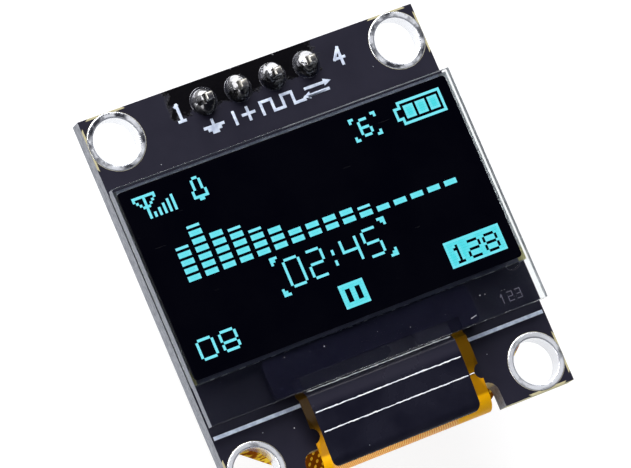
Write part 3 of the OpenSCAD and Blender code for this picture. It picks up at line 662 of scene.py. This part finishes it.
def makePolarizerMaterial():
    # glossy black, dulled where it is scratched
    look = {"black": coloured(2, 2, 7), "blackPale": coloured(4, 4, 9)}
    material, tree, shader, place = startMaterial("polarizerFilm", IOR=1.4, Specular_IOR_Level=0.15)
    tooth = useGroup(tree, grain, Vector=place, Coarse=0.25, Fine=3.0)
    black = blendOf(tree, tooth["Mottle"], look["black"], look["blackPale"])
    tree.links.new(black, shader.inputs["Base Color"])
    marks = useGroup(tree, scratches, Vector=place, Scale=1.0)["Mask"]
    tree.links.new(rampOf(tree, marks, 0, 1, 0.07, 0.2), shader.inputs["Roughness"])
    bumpOf(tree, shader, sums(tree, "MULTIPLY", marks, -1.0), 0.003)
    return material


def makeGlowMaterial():
    # the lonelier a dot, the paler its light
    look = {"unlit": (0.01, 0.04, 0.04, 1), "glow": coloured(68, 214, 224),
            "glowPale": coloured(132, 234, 249), "uneven": coloured(112, 223, 236)}
    material, tree, shader, place = startMaterial("litDots", Roughness=0.35, Base_Color=look["unlit"],
                                                  Emission_Strength=1.0)
    alone = put(tree, "Attribute", {"attribute_name": "alone"}).outputs["Fac"]
    glow = blendOf(tree, alone, look["glow"], look["glowPale"])
    uneven = rampOf(tree, noiseOf(tree, place, 3.0, detail=2.0), 0.35, 0.7, 0.0, 0.2)
    tree.links.new(blendOf(tree, uneven, glow, look["uneven"]), shader.inputs["Emission Color"])
    return material


def makePrintMaterial():
    # thick white ink, unevenly laid
    look = {"ink": coloured(182, 193, 214), "inkPale": coloured(222, 232, 246)}
    material, tree, shader, place = startMaterial("whitePrint", Roughness=0.6)
    tooth = useGroup(tree, grain, Vector=place, Coarse=2.4, Fine=14.0)
    tree.links.new(blendOf(tree, tooth["Mottle"], look["ink"], look["inkPale"]), shader.inputs["Base Color"])
    bumpOf(tree, shader, tooth["Height"], 0.02)
    return material


maskCoat = makeMaskMaterial()
tinned = makeMetalMaterial("tinnedCopper", coloured(246, 247, 250), coloured(196, 198, 204),
                           smoothest=0.14, roughest=0.32, coarse=1.1, bump=0.06, metallic=0.78)
solderShine = makeSolderMaterial()
ringTin = makeRingMaterial()
padTin = makeMetalMaterial("padTin", coloured(150, 150, 154), coloured(60, 60, 66),
                           smoothest=0.16, roughest=0.3, coarse=1.6, bump=0.03)
pinPlate = makeMetalMaterial("pinPlate", coloured(222, 219, 210), coloured(196, 192, 182),
                             smoothest=0.2, roughest=0.34, coarse=0.8, bump=0.01)
whitePrint = makePrintMaterial()
foamBlack = makePlasticMaterial("foamBlack", coloured(26, 26, 28), coloured(40, 40, 43),
                                roughness=0.9, coarse=3.0, bump=0.06)
rearGlass = makePlasticMaterial("rearGlass", coloured(96, 104, 106), coloured(150, 158, 160),
                                roughness=0.25, coarse=1.2, bump=0.02, Transmission_Weight=0.35, IOR=1.5)
whiteSheet = makePlasticMaterial("whiteSheet", coloured(214, 214, 205), coloured(226, 226, 219),
                                 roughness=0.9, coarse=2.0, bump=0.02)
edgeGlue = makeGlueMaterial()
thinFilms = makePlasticMaterial("thinFilms", coloured(30, 32, 48), coloured(44, 46, 66),
                                roughness=0.15, coarse=0.8, bump=0.005)
bareSilicon = makePlasticMaterial("bareSilicon", coloured(29, 28, 44), coloured(34, 33, 49),
                                  roughness=0.3, coarse=0.8, bump=0.005, Specular_IOR_Level=0.02)
glassInk = makePlasticMaterial("glassInk", coloured(86, 86, 100), coloured(112, 112, 126),
                               roughness=0.4, coarse=1.0, bump=0.005)
castResin = makePlasticMaterial("castResin", coloured(28, 27, 43), coloured(33, 32, 48),
                                roughness=0.6, coarse=1.0, bump=0.02, Specular_IOR_Level=0.02)
amberFilm = makeAmberMaterial()
coverFilm = makeCoverFilmMaterial()
# white for the dust specks, and for the painted highlights along the creases
dustAndCreaseHighlight = makePlasticMaterial("dustAndCreaseHighlight", coloured(215, 220, 230), coloured(255, 255, 255),
                                  roughness=0.3, coarse=3.0, bump=0.02)
blackPlastic = makePlasticMaterial("blackPlastic", coloured(24, 24, 26), coloured(34, 34, 36),
                                   roughness=0.42, coarse=1.6, bump=0.02, dustAmount=0.3)
tanCeramic = makePlasticMaterial("tanCeramic", coloured(168, 134, 92), coloured(186, 152, 108),
                                 roughness=0.5, coarse=3.0, bump=0.02)
blackGlaze = makePlasticMaterial("blackGlaze", coloured(18, 18, 22), coloured(30, 30, 34),
                                 roughness=0.25, coarse=2.0, bump=0.01)
blackEpoxy = makePlasticMaterial("blackEpoxy", coloured(30, 30, 32), coloured(44, 44, 46),
                                 roughness=0.6, coarse=5.0, bump=0.03)
polishedGlass = makeClearGlassMaterial()
glassEdge = makeGlassEdgeMaterial()
polarizerFilm = makePolarizerMaterial()
litDots = makeGlowMaterial()
print("materials made:", len(bpy.data.materials))


# camera, light and floor

def makeCamera():
    view = {"place": (-0.1152, -0.0347, 0.2865), "target": (-0.0003, 0.0014, 0.0012), "roll": -23.24,
            "lens": 273.7, "sensor": 36}
    camera = bpy.data.cameras.new("camera")
    camera.lens = view["lens"]
    camera.sensor_width = view["sensor"]
    eye = bpy.data.objects.new("camera", camera)
    bpy.context.collection.objects.link(eye)
    away = (Vector(view["place"]) - Vector(view["target"])).normalized()
    right = Vector((0, 1, 0)).cross(away).normalized()
    turn = Matrix((right, away.cross(right), away)).transposed()
    eye.matrix_world = (Matrix.Translation(view["place"]) @ turn.to_4x4()
                        @ Matrix.Rotation(math.radians(view["roll"]), 4, "Z"))
    bpy.context.scene.camera = eye


def makeLamp(name, place, size, power):
    # a rectangular lamp that faces the part
    lamp = bpy.data.lights.new(name, "AREA")
    lamp.shape = "RECTANGLE"
    lamp.size, lamp.size_y = size
    lamp.energy = power
    obj = bpy.data.objects.new(name, lamp)
    bpy.context.collection.objects.link(obj)
    obj.location = place
    obj.rotation_euler = Vector(place).to_track_quat("Z", "Y").to_euler()
    return obj


def makeWorld():
    # a white tent, dark overhead and brighter beyond the header; the camera itself sees plain white
    sky = {"back": 1.5, "front": 0.25, "top": 0.05, "darkFrom": 0.25, "darkTo": 0.62, "slant": 0.5,
           "overhead": (0.45, 0.5, 1, 1)}
    world = bpy.data.worlds.new("tent")
    bpy.context.scene.world = world
    world.use_nodes = True
    tree = world.node_tree
    x, y, z = axesOf(tree, put(tree, "TexCoord").outputs["Generated"])
    beyond = sums(tree, "SUBTRACT", y, sums(tree, "MULTIPLY", x, sky["slant"]))
    side = rampOf(tree, beyond, -0.8, 0.6, sky["front"], sky["back"])
    dark = rampOf(tree, z, sky["darkFrom"], sky["darkTo"])
    tent = put(tree, "Mix", {"data_type": "FLOAT"}, {0: dark, 2: side, 3: sky["top"]}).outputs[0]
    seen = put(tree, "LightPath").outputs["Is Camera Ray"]
    shown = put(tree, "Mix", {"data_type": "FLOAT"}, {0: seen, 2: tent, 3: 1.0}).outputs[0]
    tint = blendOf(tree, dark, grey(1), sky["overhead"])
    background = tree.nodes["Background"].inputs
    tree.links.new(shown, background["Strength"])
    tree.links.new(blendOf(tree, seen, tint, grey(1)), background["Color"])


def makeFloor():
    # grey cloth that takes the part's shadow, shown white by a glow, and clear from below
    cloth = {"reach": 1.6, "around": 96, "grey": 0.3, "weave": 0.97, "white": 0.82}
    bpy.ops.mesh.primitive_circle_add(vertices=cloth["around"], radius=cloth["reach"], fill_type="NGON",
                                      location=(0, 0, cadBox[0][2]))
    floor = bpy.context.object
    settle(floor, "floor")
    material, tree, shader, place = startMaterial("floorWhite")
    tree.nodes.remove(shader)
    woven = blendOf(tree, noiseOf(tree, place, 0.05), grey(cloth["grey"]),
                    grey(cloth["grey"] * cloth["weave"]))
    matte = put(tree, "BsdfDiffuse", {}, {"Color": woven})
    path = put(tree, "LightPath").outputs
    seen = sums(tree, "MAXIMUM", path["Is Camera Ray"], path["Is Glossy Ray"])
    seen = sums(tree, "MAXIMUM", seen, path["Is Transmission Ray"])
    white = put(tree, "Emission", {}, {"Strength": sums(tree, "MULTIPLY", seen, cloth["white"])})
    both = put(tree, "AddShader", {}, {0: matte.outputs[0], 1: white.outputs[0]})
    below = put(tree, "NewGeometry").outputs["Backfacing"]
    sheet = put(tree, "MixShader", {}, {0: below, 1: both.outputs[0],
                                        2: put(tree, "BsdfTransparent").outputs[0]})
    tree.links.new(sheet.outputs[0], tree.nodes["Material Output"].inputs["Surface"])
    floor.data.materials.append(material)


def makeStudio():
    makeWorld()
    makeFloor()
    makeLamp("keyLamp", (0.0, 0.5, 0.42), (0.6, 0.46), 6.8)
    makeLamp("sideLamp", (-0.62, 0.02, 0.3), (0.34, 0.3), 2.0)
    makeLamp("frontLamp", (0.1, -0.62, 0.07), (0.6, 0.14), 2.0).visible_glossy = False


makeCamera()
makeStudio()
bpy.context.scene.view_settings.view_transform = "Standard"
print("camera and studio made")


# board, holes and print

def makeHoleRings():
    # each lining is a thin tube with a rounded land of tin on both faces
    ring = {"hole": 1.6, "wall": 0.04, "crown": 0.045, "turns": 96, "around": 24}
    hole = ring["hole"] * mm
    bore = hole - ring["wall"] * mm
    tubeHalf = (landReach - bore) / 2
    for number in range(1, 5):
        low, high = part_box("hole_lining_%d" % number)
        x = math.copysign(holeX, (low[0] + high[0]) / 2)
        y = math.copysign(holeY, (low[1] + high[1]) / 2)
        bpy.ops.mesh.primitive_cylinder_add(vertices=ring["turns"], radius=hole, depth=boardHigh[2],
                                            end_fill_type="NOTHING", location=(x, y, boardHigh[2] / 2))
        tube = bpy.context.object
        finishWith(tube, "SOLIDIFY", thickness=ring["wall"] * mm, offset=-1.0)
        parts = [tube]
        for z in (0, boardHigh[2]):
            bpy.ops.mesh.primitive_torus_add(major_segments=ring["turns"], minor_segments=ring["around"],
                                             major_radius=(landReach + bore) / 2, minor_radius=tubeHalf,
                                             location=(x, y, z))
            land = bpy.context.object
            land.scale = (1, 1, ring["crown"] * mm / tubeHalf)
            parts.append(land)
        lining = joinAll(parts, "holeRing%d" % number)
        # the lands end flush with the board's edges
        pick(lining)
        bpy.ops.object.mode_set(mode="EDIT")
        for axis, edge in (((math.copysign(1, x), 0, 0), (high if x > 0 else low)),
                           ((0, math.copysign(1, y), 0), (high if y > 0 else low))):
            bpy.ops.mesh.select_all(action="SELECT")
            bpy.ops.mesh.bisect(plane_co=edge, plane_no=axis, clear_outer=True, use_fill=True)
        leaveEdit()
        smoothEdges(lining, 50)
        dress(lining, ringTin)
        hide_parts("hole_lining_%d" % number)
    roundedCopy("header_pads", "headerPads", 0.03, padTin)


def addPinNumbers():
    # pin numbers 1 and 4, drawn as strokes beside the row of pins
    digits = {"stroke": 0.2, "height": 1.12, "thick": 0.03, "step": 0.002, "before": -1.88, "after": 2.3,
              "rise": -0.22}
    one = (((0, 0.5), (0, -0.5)), ((-0.18, -0.5), (0.18, -0.5)), ((-0.1, 0.42), (0.02, 0.5)))
    four = (((0.12, 0.5), (0.12, -0.5)), ((0.12, 0.5), (-0.3, -0.12)), ((-0.3, -0.12), (0.32, -0.12)))
    first = middle("header_pin_1").x + digits["before"] * mm
    last = middle("header_pin_4").x + digits["after"] * mm
    strokes = []
    for x, glyph in ((first, one), (last, four)):
        centre = Vector((x, pinY + digits["rise"] * mm))
        for rank, (a, b) in enumerate(glyph):
            start, end = (Vector(point) * digits["height"] * mm + centre for point in (a, b))
            thick = digits["thick"] - digits["step"] * rank        # no two strokes end at one height
            strokes.append(addStroke(start, end, digits["stroke"] * mm, thick * mm, boardHigh[2]))
    return strokes


def makePrint():
    # the signs and the pin numbers stand a little proud of the mask, with softened edges
    bevel = 0.05
    printed = joinAll([copyOf("front_print", "frontSigns")] + addPinNumbers(), "frontPrint")
    finishWith(printed, "BEVEL", width=bevel * mm, segments=3, limit_method="ANGLE",
               angle_limit=cornerAngle, use_clamp_overlap=True)
    smoothEdges(printed)
    dress(printed, whitePrint)
    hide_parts("front_print")
    coat(nodes["rear_print"], whitePrint)


coat(nodes["board"], maskCoat)
makeHoleRings()
makePrint()
print("board dressed")


# display panel

def makeFrontGlass():
    # both faces and the lower wall are polished, the other walls are cut
    glass = {"bevel": 0.035, "faceUp": 0.9, "wallDown": -0.5}
    slab = addSlab(glassLow, glassHigh, "frontGlass")
    finishWith(slab, "BEVEL", width=glass["bevel"] * mm, segments=2, limit_method="ANGLE",
               angle_limit=cornerAngle)
    slab.data.materials.append(polishedGlass)
    slab.data.materials.append(glassEdge)
    for face in slab.data.polygons:
        polished = abs(face.normal.z) > glass["faceUp"] or face.normal.y < glass["wallDown"]
        face.material_index = 0 if polished else 1
    smoothEdges(slab, 35, True)
    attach(slab, "root")
    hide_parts("front_glass")


def dressInside():
    # what lies between and behind the two glasses
    for nodeName, material in (("drying_sheet", whiteSheet), ("seal_rim", edgeGlue),
                               ("light_layers", thinFilms), ("driver_chip", bareSilicon),
                               ("bond_resin", castResin), ("foam_tape", foamBlack)):
        coat(nodes[nodeName], material)
    roundedCopy("cover_glass", "coverGlass", 0.03, rearGlass)
    roundedCopy("polarizer", "polarizerSheet", 0.03, polarizerFilm)


def makeGlassCount():
    # a plain count in thin grey strokes on the ledge of the glass
    count = {"places": (9.15, 9.75, 10.35), "bottom": -7.36, "tall": 0.62, "wide": 0.34, "stroke": 0.05,
             "thick": 0.008, "bevel": 0.015}
    one = (((0.5, 0), (0.5, 1)), ((0.2, 0.75), (0.5, 1)))
    two = (((0, 1), (1, 1)), ((1, 1), (1, 0.5)), ((1, 0.5), (0, 0.5)), ((0, 0.5), (0, 0)), ((0, 0), (1, 0)))
    three = (((0, 1), (1, 1)), ((1, 1), (1, 0)), ((0.2, 0.5), (1, 0.5)), ((0, 0), (1, 0)))
    strokes = []
    for left, glyph in zip(count["places"], (one, two, three)):
        for stroke in glyph:
            start, end = (Vector((left + x * count["wide"], count["bottom"] + y * count["tall"])) * mm
                          for x, y in stroke)
            strokes.append(addStroke(start, end, count["stroke"] * mm, count["thick"] * mm, glassHigh[2]))
    printed = joinAll(strokes, "glassCount")
    finishWith(printed, "BEVEL", width=count["bevel"] * mm, segments=2, limit_method="ANGLE",
               angle_limit=cornerAngle)
    dress(printed, glassInk)


def makeAirPocket():
    # where the polarizer's glue stopped short: a thin closed bead on the glass
    pocket = {"centre": (10.95, -5.25), "wide": 0.5, "tall": 0.3, "bead": 0.022, "flat": 0.5, "uneven": 0.05}
    x, y = (value * mm for value in pocket["centre"])
    bpy.ops.mesh.primitive_torus_add(major_segments=48, minor_segments=8, major_radius=pocket["wide"] * mm,
                                     minor_radius=pocket["bead"] * mm, location=(x, y, glassHigh[2]))
    bead = bpy.context.object
    bead.scale = (1, pocket["tall"] / pocket["wide"], pocket["flat"])
    settle(bead, "airPocket")
    editAll(bead)
    bpy.ops.transform.vertex_random(offset=pocket["uneven"] * mm, seed=5)
    bpy.ops.mesh.vertices_smooth(factor=0.5, repeat=6)
    leaveEdit()
    smoothEdges(bead, 60)
    dress(bead, glassInk)


def makeDust():
    # a few flattened specks on the glass ledge and the board, each with its place and size, and a scratch
    dust = {"ledge": ((7.95, -6.3, 0.045), (8.3, -6.35, 0.03), (-3.4, -5.75, 0.05), (-6.2, -5.5, 0.03),
                      (2.6, -6.6, 0.025)),
            "board": ((-6.9, -9.8, 0.04), (-9.0, -9.35, 0.03), (7.4, -9.9, 0.03), (8.1, 10.4, 0.03),
                      (-8.2, 9.1, 0.03)),
            "shape": (1, 0.7, 0.5), "uneven": 0.008}
    scratch = {"start": (6.75, -7.5), "end": (7.15, -7.42), "wide": 0.035, "thick": 0.006}
    grains = []
    for surface, top in (("ledge", glassHigh[2]), ("board", boardHigh[2])):
        for x, y, size in dust[surface]:
            bpy.ops.mesh.primitive_ico_sphere_add(subdivisions=2, radius=size * mm,
                                                  location=(x * mm, y * mm, top))
            bpy.context.object.scale = dust["shape"]
            grains.append(bpy.context.object)
    grains.append(addStroke(Vector(scratch["start"]) * mm, Vector(scratch["end"]) * mm, scratch["wide"] * mm,
                            scratch["thick"] * mm, glassHigh[2]))
    dustPiece = joinAll(grains, "dustSpecks")
    editAll(dustPiece)
    bpy.ops.transform.vertex_random(offset=dust["uneven"] * mm, seed=3)
    leaveEdit()
    dress(dustPiece, dustAndCreaseHighlight)


def digitBlocks(digit, col, row, width, height):
    # lit blocks, one dot wide, of a plain seven-bar figure
    mid = row + height // 2
    end = row + height - 1
    right = col + width - 1
    bars = {"a": (col + 1, row, width - 2, 1), "g": (col + 1, mid, width - 2, 1),
            "d": (col + 1, end, width - 2, 1),
            "f": (col, row + 1, 1, mid - row - 1), "b": (right, row + 1, 1, mid - row - 1),
            "e": (col, mid + 1, 1, end - mid - 1), "c": (right, mid + 1, 1, end - mid - 1),
            "s": (col + width // 2, row, 1, height), "t": (col + width // 2 - 1, end, 3, 1),
            "n": (col + width // 2 - 1, row + 1, 1, 1), "m": (col, mid, 1, 1), "o": (right, mid, 1, 1)}
    shown = {"0": "abcdefmo", "1": "stn", "2": "abged", "4": "fgbcmo", "5": "afgcd", "6": "afgecdm",
             "8": "abcdefg"}
    return [bars[name] for name in shown[digit]]


def ringBlocks(col, row, width, height):
    # a box one dot thick
    return [(col, row, width, 1), (col, row + height - 1, width, 1), (col, row, 1, height),
            (col + width - 1, row, 1, height)]


def cornerBlocks(left, right, top, bottom, size):
    # a small filled triangle in each corner, pointing outwards
    blocks = []
    for k in range(size):
        run = size - k
        for row in (top + k, bottom - k):
            blocks.append((left, row, run, 1))
            blocks.append((right - run + 1, row, run, 1))
    return blocks


def litBlocks():
    # each block is (first column, first row, columns, rows)
    lit, dark = [], []
    # aerial and signal bars
    lit += [(0, 0, 9, 1), (4, 0, 1, 9), (0, 1, 1, 1), (8, 1, 1, 1)]
    lit += [(1 + i, 2 + i, 1, 1) for i in range(3)] + [(7 - i, 2 + i, 1, 1) for i in range(3)]
    lit += [(6 + 2 * i, 7 - i, 1, 2 + i) for i in range(5)]
    # bell
    lit += [(24, 0, 2, 1), (23, 1, 1, 4), (26, 1, 1, 4), (22, 5, 1, 2), (27, 5, 1, 2), (22, 7, 6, 1),
            (24, 8, 2, 1)]
    # battery, with its nub open to the body
    lit += ringBlocks(108, 0, 18, 9) + ringBlocks(106, 2, 3, 5)
    dark += [(108, 3, 1, 3)]
    lit += [(110 + 5 * i, 2, 4, 5) for i in range(3)]
    # a figure between four corner marks
    lit += cornerBlocks(88, 98, 0, 8, 2) + digitBlocks("6", 91, 1, 5, 7)
    # level bars: how many full steps each one has, and which ones end in a thin step
    full = (4, 6, 5, 4, 3, 3, 2, 2, 2, 2, 1, 1, 1, 1, 1, 1)
    capped = (0, 1, 3, 4, 10)
    for i, count in enumerate(full):
        lit += [(8 + 7 * i, 33 - 3 * k, 5, 2) for k in range(count)]
        if i in capped:
            lit.append((8 + 7 * i, 34 - 3 * count, 5, 1))
    # running time between four corner marks
    lit += cornerBlocks(39, 85, 37, 51, 3)
    for digit, col in (("0", 43), ("2", 52), ("4", 66), ("5", 75)):
        lit += digitBlocks(digit, col, 39, 7, 11)
    lit += [(62, 42, 1, 2), (62, 46, 1, 2)]
    # pause
    lit.append((59, 55, 10, 9))
    dark += [(61, 57, 2, 5), (65, 57, 2, 5)]
    # a dark count in a lit box, and a count at lower left
    lit.append((103, 54, 23, 10))
    for digit, col in (("1", 104), ("2", 111), ("8", 118)):
        dark += digitBlocks(digit, col, 56, 6, 7)
    lit += digitBlocks("0", 1, 55, 7, 8) + digitBlocks("8", 10, 55, 7, 8)
    return lit, dark


def makeScreenPicture():
    # one small block for each lit dot; "alone" says how few lit neighbours it has
    screen = {"cols": 126, "rows": 64, "gap": 0.003, "thick": 0.015}
    low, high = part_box("lit_pixels")
    wide = (high[0] - low[0]) / screen["cols"]
    tall = (high[1] - low[1]) / screen["rows"]
    lit, dark = litBlocks()

    def inside(col, row, blocks):
        return any(c <= col < c + w and r <= row < r + h for c, r, w, h in blocks)

    shining = {(col, row) for col in range(screen["cols"]) for row in range(screen["rows"])
               if inside(col, row, lit) and not inside(col, row, dark)}
    bpy.ops.mesh.primitive_grid_add(x_subdivisions=screen["cols"], y_subdivisions=screen["rows"], size=1,
                                    location=((low[0] + high[0]) / 2, (low[1] + high[1]) / 2, low[2]))
    picture = bpy.context.object
    picture.scale = (high[0] - low[0], high[1] - low[1], 1)
    settle(picture, "screenPicture")

    def cell(face):
        return (int((face.center.x - low[0]) / wide), int((high[1] - face.center.y) / tall))

    alone = picture.data.attributes.new("alone", "FLOAT", "FACE")
    for face in picture.data.polygons:
        col, row = cell(face)
        neighbours = sum((col + i, row + j) in shining for i in (-1, 0, 1) for j in (-1, 0, 1)) - 1
        alone.data[face.index].value = 1 - neighbours / 8
    selectFaces(picture, lambda face: cell(face) not in shining)
    bpy.ops.mesh.delete(type="FACE")
    bpy.ops.mesh.select_all(action="SELECT")
    bpy.ops.mesh.inset(thickness=screen["gap"] * mm, depth=0, use_individual=True)
    bpy.ops.mesh.select_all(action="INVERT")
    bpy.ops.mesh.delete(type="FACE")
    leaveEdit()
    finishWith(picture, "SOLIDIFY", thickness=screen["thick"] * mm, offset=1.0)
    dress(picture, litDots)
    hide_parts("lit_pixels")


makeFrontGlass()
dressInside()
makeGlassCount()
makeAirPocket()
makeDust()
makeScreenPicture()
print("panel made")


# ribbon

def makeRibbon():
    film = copyOf("ribbon", "ribbonFilm", True)
    smoothEdges(film, 60)
    dress(film, amberFilm)
    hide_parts("ribbon")
    return film


def makeCoverFilm():
    # its two lower corners are rounded by a block that it shares its space with
    cover = {"corner": 0.5, "spare": 0.2}
    film = copyOf("ribbon_cover", "ribbonCoverFilm", True)
    low, high = (Vector(corner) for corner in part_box("ribbon_cover"))
    spare = cover["spare"] * mm
    block = addSlab(low - Vector((0, 0, spare)), high + Vector((0, spare, spare)), "coverOutline")
    selectEdges(block, lambda a, b: abs(a.z - b.z) > mm and a.y < low.y + mm)
    bpy.ops.mesh.bevel(offset=cover["corner"] * mm, segments=8)
    leaveEdit()
    finishWith(film, "BOOLEAN", operation="INTERSECT", solver="EXACT", object=block)
    bpy.data.objects.remove(block)
    smoothEdges(film, 30)
    dress(film, coverFilm)
    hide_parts("ribbon_cover")
    return film


def makeCreaseHighlights(film, ribbon):
    # raised white strips along the bends of the films, painted highlights for the shine on the creases:
    # height up the part, left and right end, width and film
    crease = {"steps": 10, "least": 6, "wander": 0.07, "thick": 0.02, "lift": 0.004, "above": 3,
              "rows": ((-8.04, -5.5, 5.1, 0.07, film), (-9.5, -5.6, 5.15, 0.1, film),
                       (-10.83, -5.55, 5.15, 0.1, film), (-10.8, 5.3, 5.78, 0.1, ribbon))}
    for number, (y, left, right, wide, carrier) in enumerate(crease["rows"], 1):
        steps = max(crease["least"], int(crease["steps"] * (right - left)))
        bpy.ops.mesh.primitive_grid_add(x_subdivisions=steps, y_subdivisions=2, size=1,
                                        location=((left + right) / 2 * mm, y * mm, crease["above"] * mm))
        strip = bpy.context.object
        strip.scale = ((right - left) * mm, wide * mm, 1)
        settle(strip, "creaseHighlight%d" % number)
        editAll(strip)
        bpy.ops.transform.vertex_random(offset=crease["wander"] * mm, seed=11 * number)
        bpy.ops.mesh.vertices_smooth(factor=0.5, repeat=2, xaxis=False, zaxis=False)
        leaveEdit()
        finishWith(strip, "SHRINKWRAP", target=carrier, wrap_method="PROJECT", use_project_z=True,
                   use_negative_direction=True, use_positive_direction=False, offset=crease["lift"] * mm)
        finishWith(strip, "SOLIDIFY", thickness=crease["thick"] * mm, offset=1.0)
        smoothEdges(strip, 60)
        dress(strip, dustAndCreaseHighlight)


ribbonPiece = makeRibbon()
makeCreaseHighlights(makeCoverFilm(), ribbonPiece)
coat(nodes["ribbon_joints"], solderShine)
print("ribbon made")


# header

def makeHeader():
    roundedCopy("header_base", "headerBase", 0.06, blackPlastic, 3)
    for number in range(1, 5):
        roundedCopy("header_pin_%d" % number, "headerPin%d" % number, 0.03, pinPlate)


def makeSolderDrops():
    # a lumpy dome of solder on each pad, drawn up round its pin
    drop = {"lump": 0.12, "around": 9, "rings": 7, "wide": 0.9, "tall": 1.13, "rise": 0.98, "foot": 0.05,
            "lean": ((-0.02, -0.08), (-0.03, -0.02), (0.0, 0.01), (0.02, 0.02))}
    padTop = boardHigh[2]
    for number, (leanX, leanY) in enumerate(drop["lean"], 1):
        low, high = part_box("pin_solder_%d" % number)
        pin = middle("header_pin_%d" % number)
        reach = (high[0] - low[0]) / 2
        bpy.ops.mesh.primitive_uv_sphere_add(segments=drop["around"], ring_count=drop["rings"], radius=1)
        dome = bpy.context.object
        dome.scale = (reach * drop["wide"], reach * drop["tall"], (high[2] - padTop) * drop["rise"])
        dome.location = (pin.x + leanX * mm, pin.y + leanY * mm, padTop)
        settle(dome, "solderDrop%d" % number)
        selectFaces(dome, lambda face: face.center.z > padTop - drop["foot"] * mm)
        bpy.ops.transform.vertex_random(offset=drop["lump"] * mm, seed=number * 7)
        leaveEdit()
        finishWith(dome, "SUBSURF", levels=2, render_levels=2)
        editAll(dome)
        bpy.ops.mesh.bisect(plane_co=(pin.x, pin.y, padTop), plane_no=(0, 0, -1), clear_outer=True,
                            use_fill=True)
        leaveEdit()
        smoothEdges(dome, 60)
        dress(dome, solderShine)
        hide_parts("pin_solder_%d" % number)


makeHeader()
makeSolderDrops()
print("header made")


# rear parts

def dressRear():
    roundedCopy("capacitors", "capacitorBodies", 0.05, tanCeramic)
    roundedCopy("resistors", "resistorBodies", 0.04, blackGlaze)
    roundedCopy("part_ends", "partEnds", 0.05, tinned)
    roundedCopy("regulator", "regulatorBody", 0.08, blackEpoxy)
    roundedCopy("regulator_legs", "regulatorLegs", 0.03, tinned)
    coat(nodes["part_pads"], tinned)
    coat(nodes["part_solder"], solderShine)


dressRear()
print("rear dressed")
